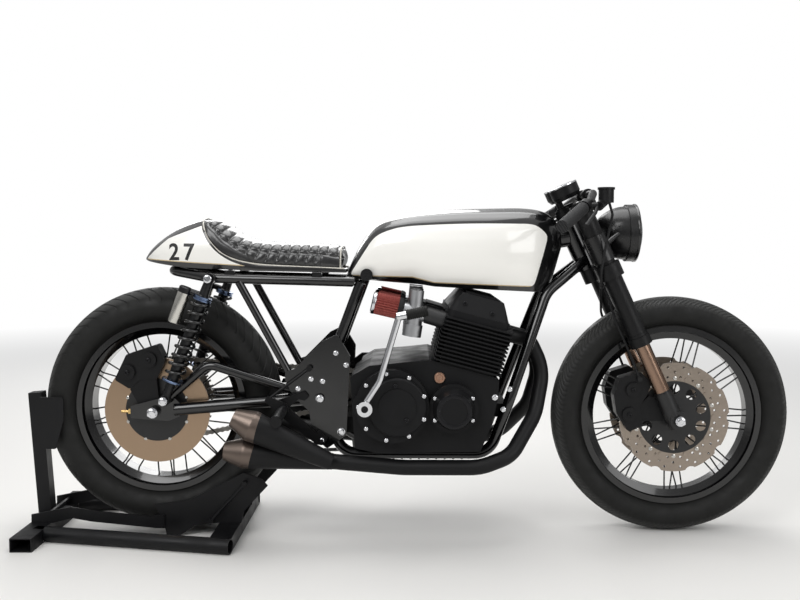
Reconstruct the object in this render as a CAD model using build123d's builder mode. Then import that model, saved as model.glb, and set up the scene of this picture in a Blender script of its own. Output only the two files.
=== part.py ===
"""A cafe racer motorcycle on its wheel chock, in millimetres.

+X points to the front, +Z up and Y = 0 is the middle plane, so the rider's right is -Y.
The origin is on the floor, half way along the whole length.
Places along the motorcycle are given as distances ahead of the rear axle, and heights from the floor.
"""
from build123d import *
import math
import os

# Wheels
WHEELBASE = 1455
FRONT_TYRE_R = 338
FRONT_TYRE_WIDTH = 110
FRONT_FLANGE_R = 256
FRONT_RIM_WIDTH = 72
REAR_TYRE_R = 340
REAR_TYRE_WIDTH = 150
REAR_FLANGE_R = 243
REAR_RIM_WIDTH = 106
TYRE_WALL = 9
RIM_WALL = 5
SEAT_GAP = 0.3
SPOKES = 36
SPOKE = 4.4
AXLE = 20
AXLE_GAP = 0.1
FRONT_DISC_R = 155
REAR_DISC_R = 148
DISC_THICK = 5
FRONT_DISC_Y = 64
REAR_DISC_Y = 92
BRAKE_GAP = 5
CHOCK_LIFT = 22

# Steering
RAKE = math.radians(24.5)
FORK_OFFSET = 35
AXLE_LEAD = 7
LEG_Y = 100
FORK_TUBE = 54
STANCHION = 43
TUBE_END = 233
LOWER_CLAMP = 438
LOWER_CLAMP_THICK = 40
UPPER_CLAMP = 632
UPPER_CLAMP_THICK = 22
HEAD_TUBE = 58
STEM = 30

# Frame
RAIL = 30
SEAT_RAIL = 27
BACKBONE = 60
CRADLE_Z = 245
STRUT = 22
PIVOT_X = 459
PIVOT_Z = 399
PLATE_IN = 131
PLATE_THICK = 8
ARM = 36
ARM_Y = 122
SHOCK_Y = 152
SHOCK_TOP = (166, 733)
SHOCK_FOOT = (37, 399)

# Drive
CHAIN_Y = 89.5
CHAIN_PITCH = 15.875
REAR_TEETH = 48
DRIVE_TEETH = 18
DRIVE_X = 554
DRIVE_Z = 400
CHAIN_WIDTH = 15
CHAIN_HEIGHT = 14

# Engine
CASE_HALF = 190
COVER_OUT = 258
LEAN = 15
FIN_HALF = 205
FIN_LENGTH = 186
BLOCK_FINS = 8
HEAD_FINS = 4
FIN_PITCH = 10.6
FIN_THICK = 4.2

# Exhaust
PIPE = 42
MUFFLER = 84
MUFFLER_END = 50

# Bodywork
TANK_HALF = 146
SEAT_HALF = 112
COWL_HALF = 118

# Wheel chock
POST_REACH = 395
CHOCK_BAR_X = 60
CHOCK_BAR_Z = 38
CHOCK_WALL = 3
CHOCK_TUBE = 42
POST = 38
POST_TOP = 398
CHEEK_Y = 88

# Places that follow from the sizes above
REAR_X = -(WHEELBASE + FRONT_TYRE_R - POST_REACH) / 2
REAR_Z = REAR_TYRE_R + CHOCK_LIFT
FRONT_X = REAR_X + WHEELBASE
FRONT_Z = FRONT_TYRE_R
UP_X, UP_Z = -math.sin(RAKE), math.cos(RAKE)
AXIS_AHEAD = FORK_OFFSET + AXLE_LEAD
AXIS_FOOT = (FRONT_X - AXIS_AHEAD * UP_Z, 0, FRONT_Z + AXIS_AHEAD * UP_X)
STEER = Plane(origin=AXIS_FOOT, x_dir=(UP_Z, 0, -UP_X), z_dir=(UP_X, 0, UP_Z))
REAR_WHEEL = Plane(origin=(REAR_X, 0, REAR_Z), x_dir=(0, 1, 0), z_dir=(1, 0, 0))
FRONT_WHEEL = Plane(origin=(FRONT_X, 0, FRONT_Z), x_dir=(0, 1, 0), z_dir=(1, 0, 0))
REAR_AXIS = Axis((REAR_X, 0, REAR_Z), (0, 1, 0))
FRONT_AXIS = Axis((FRONT_X, 0, FRONT_Z), (0, 1, 0))

CRADLE_Y = PLATE_IN - SEAT_GAP - RAIL / 2
STRUT_Y = PLATE_IN - SEAT_GAP - STRUT / 2
TANK_TUNNEL = BACKBONE / 2 + 8

pieces = {}


def bike(x, y, z):
    """A place by its distance ahead of the rear axle, its side and its height."""
    return (REAR_X + x, y, z)


def fork(ahead, y, up):
    """A place by its distance ahead of the steering axis and its height along that axis."""
    return tuple(STEER.from_local_coords((ahead, y, up)))


def side_plane(y):
    """The upright plane at one side, whose own x and y are the motorcycle's length and height."""
    return Plane(origin=(REAR_X, y, 0), x_dir=(1, 0, 0), z_dir=(0, -1, 0))


def rod(start, end, diameter, bore=0, mode=Mode.ADD):
    """A straight round bar, added to the part in hand or cut from it."""
    run = Vector(*end) - Vector(*start)
    with BuildSketch(Plane(origin=start, z_dir=run)) as disc:
        Circle(diameter / 2)
        if bore:
            Circle(bore / 2, mode=Mode.SUBTRACT)
    extrude(disc.sketch, amount=run.length, mode=mode)


def tube(points, bends, diameter, bore=0, mode=Mode.ADD):
    """A round tube along straight runs joined by bends, added to the part in hand or cut from it."""
    with BuildLine() as route:
        FilletPolyline(*points, radius=bends)
    with BuildSketch(Plane(origin=route.line @ 0, z_dir=route.line % 0)) as ring:
        Circle(diameter / 2)
        if bore:
            Circle(bore / 2, mode=Mode.SUBTRACT)
    sweep(ring.sketch, path=route.line, mode=mode)


def slab(outline, near, far, rounding=0, mode=Mode.ADD):
    """A flat plate between two sides, from its outline seen from the side."""
    with BuildSketch(side_plane(near)) as plate:
        with BuildLine():
            Polyline(*outline, close=True)
        make_face()
        if rounding:
            fillet(plate.vertices(), rounding)
    extrude(plate.sketch, amount=near - far, mode=mode)


def mirrored(y):
    """Both sides of one distance from the middle plane."""
    return ((-1, -y), (1, y))


def wheel(plane, axis, flange_r, rim_width, hub_half, hub_r, turn):
    """A wire wheel: rim, hub and crossed spokes in one piece, added to the part in hand."""
    half = rim_width / 2
    seat = flange_r - 11
    well = flange_r - 32
    with BuildSketch(plane) as rim:
        with BuildLine():
            Polyline((half, flange_r), (half - RIM_WALL, flange_r), (half - RIM_WALL, seat),
                     (0.62 * half, seat - 2), (0.42 * half, well), (-0.42 * half, well),
                     (-0.62 * half, seat - 2), (RIM_WALL - half, seat), (RIM_WALL - half, flange_r),
                     (-half, flange_r), (-half, seat - RIM_WALL), (-0.7 * half, seat - RIM_WALL - 2),
                     (-0.5 * half, well - RIM_WALL), (0.5 * half, well - RIM_WALL),
                     (0.7 * half, seat - RIM_WALL - 2), (half, seat - RIM_WALL), close=True)
        make_face()
    revolve(rim.sketch, axis=axis)
    barrel = 0.62 * hub_r
    flange_y = hub_half - 4
    with BuildSketch(plane) as hub:
        with BuildLine():
            Polyline((hub_half, AXLE / 2 + AXLE_GAP), (hub_half, hub_r), (hub_half - 8, hub_r),
                     (hub_half - 16, barrel), (16 - hub_half, barrel), (8 - hub_half, hub_r),
                     (-hub_half, hub_r), (-hub_half, AXLE / 2 + AXLE_GAP), close=True)
        make_face()
    revolve(hub.sketch, axis=axis)
    centre = axis.position
    for i in range(SPOKES):
        side = 1 if i % 2 else -1
        swing = turn if i % 4 < 2 else -turn
        root = math.radians(360 * i / SPOKES)
        tip = root + math.radians(swing)
        start_r, end_r = hub_r - 5, well - RIM_WALL / 2
        start = (centre.X + start_r * math.cos(root), side * flange_y,
                 centre.Z + start_r * math.sin(root))
        end = (centre.X + end_r * math.cos(tip), side * 5, centre.Z + end_r * math.sin(tip))
        rod(start, end, SPOKE)


def tyre(plane, axis, radius, width, flange_r, rim_width):
    """A hollow tyre whose beads seat between the rim's flanges, added to the part in hand."""
    seat_r = flange_r - 11 + SEAT_GAP
    seat_y = rim_width / 2 - RIM_WALL - SEAT_GAP
    half = width / 2
    shoulder_y, shoulder_r = 0.86 * half, radius - 0.36 * half
    side_r = seat_r + 0.52 * (radius - seat_r)
    with BuildSketch(plane) as section:
        for cut in (0, TYRE_WALL):
            with BuildLine():
                Line((seat_y - cut, seat_r), (seat_y - cut, flange_r + 2))
                ThreePointArc((seat_y - cut, flange_r + 2), (half - cut, side_r),
                              (shoulder_y - cut, shoulder_r - cut / 2))
                ThreePointArc((shoulder_y - cut, shoulder_r - cut / 2), (0, radius - cut),
                              (cut - shoulder_y, shoulder_r - cut / 2))
                ThreePointArc((cut - shoulder_y, shoulder_r - cut / 2), (cut - half, side_r),
                              (cut - seat_y, flange_r + 2))
                Line((cut - seat_y, flange_r + 2), (cut - seat_y, seat_r))
                Line((cut - seat_y, seat_r), (seat_y - cut, seat_r))
            make_face(mode=Mode.SUBTRACT if cut else Mode.ADD)
    revolve(section.sketch, axis=axis)


# Rear wheel
REAR_HUB_HALF = 40
REAR_HUB_R = 55
with BuildPart() as rear_rim:
    wheel(REAR_WHEEL, REAR_AXIS, REAR_FLANGE_R, REAR_RIM_WIDTH, REAR_HUB_HALF, REAR_HUB_R, 24)
pieces["rear_rim"] = rear_rim

with BuildPart() as rear_tyre:
    tyre(REAR_WHEEL, REAR_AXIS, REAR_TYRE_R, REAR_TYRE_WIDTH, REAR_FLANGE_R, REAR_RIM_WIDTH)
pieces["rear_tyre"] = rear_tyre

DISC_INNER = 88
with BuildPart() as rear_disc:
    with BuildSketch(REAR_WHEEL) as half_section:
        with BuildLine():
            Polyline((-REAR_HUB_HALF, AXLE / 2 + AXLE_GAP), (-REAR_HUB_HALF, REAR_HUB_R),
                     (DISC_THICK - REAR_DISC_Y, DISC_INNER + 8), (DISC_THICK / 2 - REAR_DISC_Y, DISC_INNER + 8),
                     (DISC_THICK / 2 - REAR_DISC_Y, REAR_DISC_R), (-DISC_THICK / 2 - REAR_DISC_Y, REAR_DISC_R),
                     (-DISC_THICK / 2 - REAR_DISC_Y, DISC_INNER), (-DISC_THICK - REAR_DISC_Y, DISC_INNER),
                     (-DISC_THICK - REAR_DISC_Y, AXLE / 2 + AXLE_GAP), close=True)
        make_face()
    revolve(half_section.sketch, axis=REAR_AXIS)
pieces["rear_disc"] = rear_disc

# The chain's rollers clear the rear sprocket's rim, because the loop is still while the wheel turns
REAR_PITCH_R = CHAIN_PITCH / (2 * math.sin(math.pi / REAR_TEETH))
DRIVE_PITCH_R = CHAIN_PITCH / (2 * math.sin(math.pi / DRIVE_TEETH))
ROLLER_R = 5.1
CHAIN_GAP = 1
SPROCKET_THICK = 6
TOOTH = 3
WINDOWS = 6


def toothed(plane, pitch_r, teeth):
    """The outline of a sprocket: a disc whose edge has a round gullet for each roller."""
    with BuildSketch(plane) as outline:
        Circle(pitch_r + TOOTH)
        with PolarLocations(pitch_r, teeth):
            Circle(ROLLER_R + SEAT_GAP, mode=Mode.SUBTRACT)
    return outline.sketch


with BuildPart() as rear_sprocket:
    with BuildSketch(REAR_WHEEL) as half_section:
        with BuildLine():
            Polyline((REAR_HUB_HALF, AXLE / 2 + AXLE_GAP), (REAR_HUB_HALF, REAR_HUB_R),
                     (CHAIN_Y - SPROCKET_THICK / 2 - 10, REAR_HUB_R + 12),
                     (CHAIN_Y - SPROCKET_THICK / 2, REAR_HUB_R + 12),
                     (CHAIN_Y + SPROCKET_THICK / 2, REAR_HUB_R + 12),
                     (CHAIN_Y + SPROCKET_THICK / 2, AXLE / 2 + AXLE_GAP), close=True)
        make_face()
    revolve(half_section.sketch, axis=REAR_AXIS)
    sprocket_plane = Plane(origin=(REAR_X, CHAIN_Y - SPROCKET_THICK / 2, REAR_Z), x_dir=(1, 0, 0), z_dir=(0, 1, 0))
    with BuildSketch(sprocket_plane) as web:
        add(toothed(Plane.XY, REAR_PITCH_R, REAR_TEETH))
        Circle(REAR_HUB_R, mode=Mode.SUBTRACT)
        with PolarLocations(0.5 * (REAR_HUB_R + 12 + REAR_PITCH_R), WINDOWS):
            Circle(0.28 * (REAR_PITCH_R - REAR_HUB_R), mode=Mode.SUBTRACT)
    extrude(web.sketch, amount=SPROCKET_THICK)
pieces["rear_sprocket"] = rear_sprocket

# Front wheel
FRONT_HUB_HALF = 44
FRONT_HUB_R = 44
with BuildPart() as front_rim:
    wheel(FRONT_WHEEL, FRONT_AXIS, FRONT_FLANGE_R, FRONT_RIM_WIDTH, FRONT_HUB_HALF, FRONT_HUB_R, 28)
pieces["front_rim"] = front_rim

with BuildPart() as front_tyre:
    tyre(FRONT_WHEEL, FRONT_AXIS, FRONT_TYRE_R, FRONT_TYRE_WIDTH, FRONT_FLANGE_R, FRONT_RIM_WIDTH)
pieces["front_tyre"] = front_tyre

DISC_WAVES = 10
DISC_BAND = 44
HOLE_ROWS = [(-10, 8), (4, 0), (18, -8)]  # each row's distance inside the middle of the band, and its turn
CARRIER_THICK = 3.6
RIVET = 15
with BuildPart() as front_discs:
    for side, y in mirrored(FRONT_DISC_Y):
        face = Plane(origin=(FRONT_X, y, FRONT_Z), x_dir=(1, 0, 0), z_dir=(0, -1, 0))
        band_r = FRONT_DISC_R - DISC_BAND
        with BuildSketch(face) as ring:
            Circle(FRONT_DISC_R)
            with PolarLocations(FRONT_DISC_R + 12, DISC_WAVES):
                Circle(19, mode=Mode.SUBTRACT)
            for inward, turn in HOLE_ROWS:
                with PolarLocations(FRONT_DISC_R - DISC_BAND / 2 - inward, 2 * DISC_WAVES, start_angle=turn):
                    Circle(3.5, mode=Mode.SUBTRACT)
            Circle(band_r, mode=Mode.SUBTRACT)
        extrude(ring.sketch, amount=DISC_THICK / 2, both=True)
        with BuildSketch(face) as carrier:
            Circle(band_r + 1)
            with PolarLocations(0.72 * band_r, DISC_WAVES, start_angle=180 / DISC_WAVES):
                Circle(15, mode=Mode.SUBTRACT)
            Circle(AXLE / 2 + AXLE_GAP, mode=Mode.SUBTRACT)
        extrude(carrier.sketch, amount=CARRIER_THICK / 2, both=True)
        with BuildSketch(face) as rivets:
            with PolarLocations(band_r, DISC_WAVES):
                Circle(RIVET / 2)
        extrude(rivets.sketch, amount=DISC_THICK / 2 + 1.5, both=True)
        with BuildSketch(Plane(origin=(FRONT_X, side * FRONT_HUB_HALF, FRONT_Z), z_dir=(0, side, 0))) as boss:
            Circle(FRONT_HUB_R)
            Circle(AXLE / 2 + AXLE_GAP, mode=Mode.SUBTRACT)
        extrude(boss.sketch, amount=FRONT_DISC_Y - FRONT_HUB_HALF)
pieces["front_discs"] = front_discs

# Fork, built along the steering axis: the upper tubes are the outer ones
CLAMP_TOP = UPPER_CLAMP + UPPER_CLAMP_THICK
SEAL = 62
with BuildPart() as fork_tubes:
    for side, y in mirrored(LEG_Y):
        rod(fork(FORK_OFFSET, y, TUBE_END), fork(FORK_OFFSET, y, CLAMP_TOP + 6), FORK_TUBE)
        rod(fork(FORK_OFFSET, y, TUBE_END), fork(FORK_OFFSET, y, TUBE_END + 26), SEAL)
        rod(fork(FORK_OFFSET, y, TUBE_END + 26), fork(FORK_OFFSET, y, TUBE_END + 34), FORK_TUBE + 3)
        rod(fork(FORK_OFFSET, y, CLAMP_TOP + 6), fork(FORK_OFFSET, y, CLAMP_TOP + 12), FORK_TUBE - 14)
pieces["fork_tubes"] = fork_tubes

LEG_FOOT = 88
FOOT_HALF = 23
FOOT = 52
with BuildPart() as fork_legs:
    for side, y in mirrored(LEG_Y):
        rod(fork(FORK_OFFSET, y, LEG_FOOT), fork(FORK_OFFSET, y, TUBE_END - SEAT_GAP), STANCHION)
        rod(fork(FORK_OFFSET, y, -18), fork(FORK_OFFSET, y, LEG_FOOT), STANCHION + 5)
        rod((FRONT_X, y - FOOT_HALF, FRONT_Z), (FRONT_X, y + FOOT_HALF, FRONT_Z), FOOT)
    axle_end = LEG_Y + FOOT_HALF + 6
    rod((FRONT_X, -axle_end, FRONT_Z), (FRONT_X, axle_end, FRONT_Z), AXLE)
    for side, y in mirrored(LEG_Y + FOOT_HALF):
        with BuildSketch(Plane(origin=(FRONT_X, y, FRONT_Z), z_dir=(0, side, 0))) as nut:
            RegularPolygon(17, 6)
        extrude(nut.sketch, amount=5)
    with Locations(Plane(origin=(FRONT_X, -axle_end, FRONT_Z), z_dir=(0, -1, 0))):
        Hole(AXLE / 2 - 4)
pieces["fork_legs"] = fork_legs

CLAMP_GAP = 0.3
CLAMP_WALL = 9
CLAMP_WEB = 24
BAR_AHEAD = 76
with BuildPart() as triple_clamps:
    for height, thick in ((LOWER_CLAMP, LOWER_CLAMP_THICK), (UPPER_CLAMP, UPPER_CLAMP_THICK)):
        with BuildSketch(STEER.offset(height)) as plate:
            with Locations((FORK_OFFSET + 4, -LEG_Y), (FORK_OFFSET + 4, LEG_Y), (24, 0)):
                Circle(CLAMP_WEB)
            make_hull()
            Circle(STEM / 2 + CLAMP_WALL)
            for side, y in mirrored(LEG_Y):
                with Locations((FORK_OFFSET, y)):
                    Circle(FORK_TUBE / 2 + CLAMP_WALL)
            for side, y in mirrored(LEG_Y):
                with Locations((FORK_OFFSET, y)):
                    Circle(FORK_TUBE / 2 + CLAMP_GAP, mode=Mode.SUBTRACT)
        extrude(plate.sketch, amount=thick)
    with BuildSketch(STEER.offset(UPPER_CLAMP)) as lug:
        with Locations(((BAR_AHEAD + 14) / 2 + 20, 0)):
            RectangleRounded(BAR_AHEAD + 14 - 40, 110, 10)
    extrude(lug.sketch, amount=UPPER_CLAMP_THICK)
    rod(fork(0, 0, LOWER_CLAMP), fork(0, 0, CLAMP_TOP + 14), STEM)
    rod(fork(0, 0, CLAMP_TOP), fork(0, 0, CLAMP_TOP + 9), STEM + 12)
pieces["triple_clamps"] = triple_clamps

# Handlebar on two clamps ahead of the stem
BAR = 22
BAR_UP = CLAMP_TOP + 18
GRIP_IN = (12, 250, 653)
GRIP_OUT = (-72, 366, 639)


def bar(place, side, further=0):
    """A place on the handlebar, some way further in along the grip's own line."""
    ahead, y, up = (start + further * (start_in - start_out)
                    for start, start_in, start_out in zip(place, GRIP_IN, GRIP_OUT))
    return fork(ahead, side * y, up)


with BuildPart() as handlebar:
    right = [bar(GRIP_OUT, -1), bar(GRIP_IN, -1, 0.34), fork(BAR_AHEAD, -122, BAR_UP)]
    left = [(x, -y, z) for x, y, z in reversed(right)]
    tube(right + left, [26, 26, 26, 26], BAR)
    for side, y in mirrored(42):
        rod(fork(BAR_AHEAD, y - 11, BAR_UP), fork(BAR_AHEAD, y + 11, BAR_UP), BAR + 12)
        rod(fork(BAR_AHEAD, y, CLAMP_TOP + SEAT_GAP), fork(BAR_AHEAD, y, BAR_UP - 6), BAR - 3)
pieces["handlebar"] = handlebar

GRIP = 33
with BuildPart() as grips:
    for side in (-1, 1):
        rod(bar(GRIP_OUT, side, -0.03), bar(GRIP_IN, side), GRIP)
        rod(bar(GRIP_OUT, side), bar(GRIP_IN, side, 0.1), BAR + 2 * SEAT_GAP, mode=Mode.SUBTRACT)
pieces["grips"] = grips

# Brake and clutch levers with their clamps, the brake's with its pump and round reservoir
LEVER_AHEAD = 46
PUMP = 24
RESERVOIR = 40
with BuildPart() as levers:
    pump_in, pump_out = Vector(*bar(GRIP_IN, -1, 0.56)), Vector(*bar(GRIP_IN, -1, 0.11))
    pump_ahead = Vector(LEVER_AHEAD - 10, 0, 0)
    rod(tuple(pump_in + pump_ahead), tuple(pump_out + pump_ahead), PUMP)
    cup = (pump_in + pump_out) * 0.5 + pump_ahead + Vector(8, 0, 0)
    rod(tuple(cup), tuple(cup + Vector(0, 0, 34)), RESERVOIR)
    rod(tuple(cup + Vector(0, 0, 34)), tuple(cup + Vector(0, 0, 40)), RESERVOIR + 5)
    for side in (-1, 1):
        hold_in, hold_out = Vector(*bar(GRIP_IN, side, 0.2)), Vector(*bar(GRIP_IN, side, 0.03))
        rod(tuple(hold_in), tuple(hold_out), BAR + 14)
        pivot = (hold_in + hold_out) * 0.5 + Vector(LEVER_AHEAD * 0.7, 0, 0)
        rod(tuple((hold_in + hold_out) * 0.5), tuple(pivot), 20)
        tip = Vector(*bar(GRIP_OUT, side, 0.1)) + Vector(LEVER_AHEAD + 6, 0, -4)
        middle = Vector(*bar(GRIP_IN, side, -0.2)) + Vector(LEVER_AHEAD - 4, 0, -2)
        tube([tuple(pivot), tuple(middle), tuple(tip)], [60], 10)
        rod(tuple(hold_in + (hold_in - hold_out)), tuple(hold_out * 2 - hold_in), BAR + 2 * SEAT_GAP,
            mode=Mode.SUBTRACT)
pieces["levers"] = levers

# Brake hoses of the fork: from the pump to a union under the lower clamp, and from there behind each leg
CALIPER_OUT = 24
HOSE = 7
HOSE_BACK = -3
BANJO = (-7, 145.5)
UNION_LOW = LOWER_CLAMP - SEAT_GAP - 16
BANJO_FACE = FRONT_DISC_Y + CALIPER_OUT + SEAT_GAP
with BuildPart() as brake_hoses:
    rod(fork(22, -20, UNION_LOW + 8), fork(22, 20, UNION_LOW + 8), 16)
    pump_end = Vector(*bar(GRIP_IN, -1, 0.56)) + Vector(LEVER_AHEAD - 10, 0, 0)
    pump_run = (pump_end - (Vector(*bar(GRIP_IN, -1, 0.11)) + Vector(LEVER_AHEAD - 10, 0, 0))).normalized()
    union_end = pump_end + pump_run * (SEAT_GAP + 12)
    rod(tuple(pump_end + pump_run * SEAT_GAP), tuple(union_end), 14)
    tube([tuple(union_end - pump_run * 5), fork(96, -150, 600), fork(40, -144, 520), fork(8, -140, 470),
          fork(-6, -112, 424), fork(14, -50, 420), fork(22, -16, UNION_LOW + 8)], [14, 30, 30, 30, 22], HOSE)
    for side, y in mirrored(BANJO_FACE):
        tube([fork(22, side * 12, UNION_LOW + 6), fork(14, side * 44, 396), fork(HOSE_BACK, y + side * 4, 330),
              fork(HOSE_BACK, y + side * 4, 240), fork(BANJO[0], y + side * 4, BANJO[1])], [24, 40, 50], HOSE)
        rod(fork(BANJO[0], y, BANJO[1]), fork(BANJO[0], y + side * 9, BANJO[1]), 14)
pieces["brake_hoses"] = brake_hoses

# Round headlight between the fork tubes
LAMP_R = 81
LAMP_AHEAD = 148
LAMP_UP = 522
LAMP = Plane(origin=fork(LAMP_AHEAD, 0, LAMP_UP), x_dir=(1, 0, 0), z_dir=(0, -1, 0))
LAMP_AXIS = Axis(LAMP.origin, (1, 0, 0))
LAMP_BACK = 108
LAMP_RING_LOW = LOWER_CLAMP + LOWER_CLAMP_THICK + 10
LAMP_RING_HIGH = LAMP_RING_LOW + 76
with BuildPart() as headlight:
    for side, y in mirrored(LEG_Y):
        rod(fork(FORK_OFFSET, y, LAMP_RING_LOW), fork(FORK_OFFSET, y, LAMP_RING_HIGH), FORK_TUBE + 8)
        rod(fork(FORK_OFFSET + 20, y - side * 10, LAMP_RING_LOW + 40), tuple(LAMP.origin + Vector(-40, y - side * 38, 0)), 14)
        rod(fork(FORK_OFFSET, y, LAMP_RING_LOW - 5), fork(FORK_OFFSET, y, LAMP_RING_HIGH + 5),
            FORK_TUBE + 2 * CLAMP_GAP, mode=Mode.SUBTRACT)
    with BuildSketch(LAMP) as bowl:
        with BuildLine():
            Line((16, 0), (16, LAMP_R))
            Line((16, LAMP_R), (-12, LAMP_R))
            Line((-12, LAMP_R), (-12, LAMP_R - 5))
            Spline((-12, LAMP_R - 5), (-50, 68), (-88, 42), (-LAMP_BACK, 12))
            Line((-LAMP_BACK, 12), (-LAMP_BACK, 0))
            Line((-LAMP_BACK, 0), (16, 0))
        make_face()
    revolve(bowl.sketch, axis=LAMP_AXIS)
    with BuildSketch(Plane(origin=LAMP.origin + Vector(6, 0, 0), z_dir=(1, 0, 0))) as glass_seat:
        Circle(LAMP_R - 6)
    extrude(glass_seat.sketch, amount=12, mode=Mode.SUBTRACT)
pieces["headlight"] = headlight

LENS_BULGE = 14
with BuildPart() as headlight_lens:
    with BuildSketch(Plane(origin=LAMP.origin + Vector(6 + SEAT_GAP, 0, 0), x_dir=(1, 0, 0), z_dir=(0, -1, 0))) as dome:
        with BuildLine():
            Line((0, 0), (0, LAMP_R - 6 - SEAT_GAP))
            Line((0, LAMP_R - 6 - SEAT_GAP), (10, LAMP_R - 6 - SEAT_GAP))
            Spline((10, LAMP_R - 6 - SEAT_GAP), (6 + LENS_BULGE, 0.62 * LAMP_R), (12 + LENS_BULGE, 0))
            Line((12 + LENS_BULGE, 0), (0, 0))
        make_face()
    revolve(dome.sketch, axis=LAMP_AXIS)
pieces["headlight_lens"] = headlight_lens

# Frame: head tube and backbone
HEAD_LOW = LOWER_CLAMP + LOWER_CLAMP_THICK + 1
HEAD_HIGH = UPPER_CLAMP - 1
CROSS = (590, 742)
spine_low = Vector(*bike(CROSS[0], 0, CROSS[1] + 14))
spine_high = Vector(*fork(-14, 0, HEAD_HIGH - 45))
with BuildPart() as frame_spine:
    rod(fork(0, 0, HEAD_LOW), fork(0, 0, HEAD_HIGH), HEAD_TUBE)
    rod(tuple(spine_high), tuple(spine_low), BACKBONE)
    rod(bike(CROSS[0], -CRADLE_Y - 12, CROSS[1]), bike(CROSS[0], CRADLE_Y + 12, CROSS[1]), RAIL + 4)
    for near, far in ((0.12, 0.16), (0.78, 0.82)):
        rod(tuple(spine_low + (spine_high - spine_low) * near),
            tuple(spine_low + (spine_high - spine_low) * far), 2 * (TANK_TUNNEL - SEAT_GAP))
    rod(fork(0, 0, HEAD_LOW - 5), fork(0, 0, HEAD_HIGH + 5), STEM + 2 * AXLE_GAP, mode=Mode.SUBTRACT)
pieces["frame_spine"] = frame_spine

DOWN_TOP = HEAD_LOW + 28
STAND_PIVOT = (560, 196)
STAND_Y = 148
STAND_EYE = 34
STAND_THICK = 12
STAND_PIN = 12
STAND_GAP = 0.5


def downtube(side):
    """The upper end of one cradle tube, from the head tube down to the front of the engine."""
    return [fork(0, side * 26, DOWN_TOP), bike(1092, side * 62, 690), bike(985, side * CRADLE_Y, 395)]


with BuildPart() as cradle:
    for side in (-1, 1):
        tube(downtube(side) + [
              bike(930, side * CRADLE_Y, CRADLE_Z), bike(505, side * CRADLE_Y, CRADLE_Z),
              bike(497, side * CRADLE_Y, 515), bike(574, side * CRADLE_Y, 720)],
             [90, 120, 60, 60, 120], RAIL)
    rod(fork(0, 0, HEAD_LOW - 40), fork(0, 0, HEAD_HIGH), HEAD_TUBE + 2 * SEAT_GAP, mode=Mode.SUBTRACT)
    rod(bike(CROSS[0], -200, CROSS[1]), bike(CROSS[0], 200, CROSS[1]), RAIL + 4 + 2 * SEAT_GAP,
        mode=Mode.SUBTRACT)
    lug_face = STAND_Y - STAND_THICK / 2 - STAND_GAP
    slab([(STAND_PIVOT[0] - 22, STAND_PIVOT[1] - 14), (STAND_PIVOT[0] - 28, CRADLE_Z),
          (STAND_PIVOT[0] + 28, CRADLE_Z), (STAND_PIVOT[0] + 22, STAND_PIVOT[1] - 14)],
         CRADLE_Y + 4, lug_face, rounding=6)
    rod(bike(STAND_PIVOT[0], lug_face - 8, STAND_PIVOT[1]),
        bike(STAND_PIVOT[0], STAND_Y + STAND_THICK / 2 + 8, STAND_PIVOT[1]), STAND_PIN)
    rod(bike(STAND_PIVOT[0], STAND_Y + STAND_THICK / 2 + STAND_GAP, STAND_PIVOT[1]),
        bike(STAND_PIVOT[0], STAND_Y + STAND_THICK / 2 + 8, STAND_PIVOT[1]), STAND_PIN + 10)
pieces["cradle"] = cradle

RAIL_BACK = 42
TOP_PIN = 12
with BuildPart() as subframe:
    right = [bike(CROSS[0] - 34, -CRADLE_Y, 722), bike(160, -CRADLE_Y, 733), bike(RAIL_BACK, -70, 752)]
    left = [(x, -y, z) for x, y, z in reversed(right)]
    tube(right + left, [60, 45, 45, 60], SEAT_RAIL)
    for side in (-1, 1):
        rod(bike(238, side * STRUT_Y, 722), bike(378, side * STRUT_Y, 464), STRUT)
        rod(bike(SHOCK_TOP[0], side * CRADLE_Y, SHOCK_TOP[1]),
            bike(SHOCK_TOP[0], side * (SHOCK_Y + 22), SHOCK_TOP[1]), TOP_PIN)
    for side in (-1, 1):
        rod(bike(480, side * CRADLE_Y, 470), bike(585, side * CRADLE_Y, 760), RAIL + 2 * SEAT_GAP,
            mode=Mode.SUBTRACT)
    for side in (-1, 1):
        for low, high, foot in ((200, 226, (754.7, 753.8)), (440, 466, (748.9, 748.3))):
            slab([(low, 730), (low, foot[0] - SEAT_GAP), (high, foot[1] - SEAT_GAP), (high, 730)],
                 side * CRADLE_Y - 9, side * CRADLE_Y + 9)
pieces["subframe"] = subframe

PIVOT_SHAFT = 18
FOOT_PIN = 14
PLATE_EDGE = [(366, 452), (366, 476), (392, 484), (468, 560), (510, 580), (545, 520), (534, 300),
              (480, 262), (440, 300), (432, 366), (388, 408)]
with BuildPart() as pivot_plates:
    for side, y in mirrored(PLATE_IN):
        slab(PLATE_EDGE, y, y + side * PLATE_THICK, rounding=8)
    shaft_end = PLATE_IN + PLATE_THICK + 12
    rod(bike(PIVOT_X, -shaft_end, PIVOT_Z), bike(PIVOT_X, shaft_end, PIVOT_Z), PIVOT_SHAFT)
    for side in (-1, 1):
        rod(bike(PIVOT_X, side * (PLATE_IN + PLATE_THICK), PIVOT_Z),
            bike(PIVOT_X, side * shaft_end, PIVOT_Z), 30)
pieces["pivot_plates"] = pivot_plates

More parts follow.
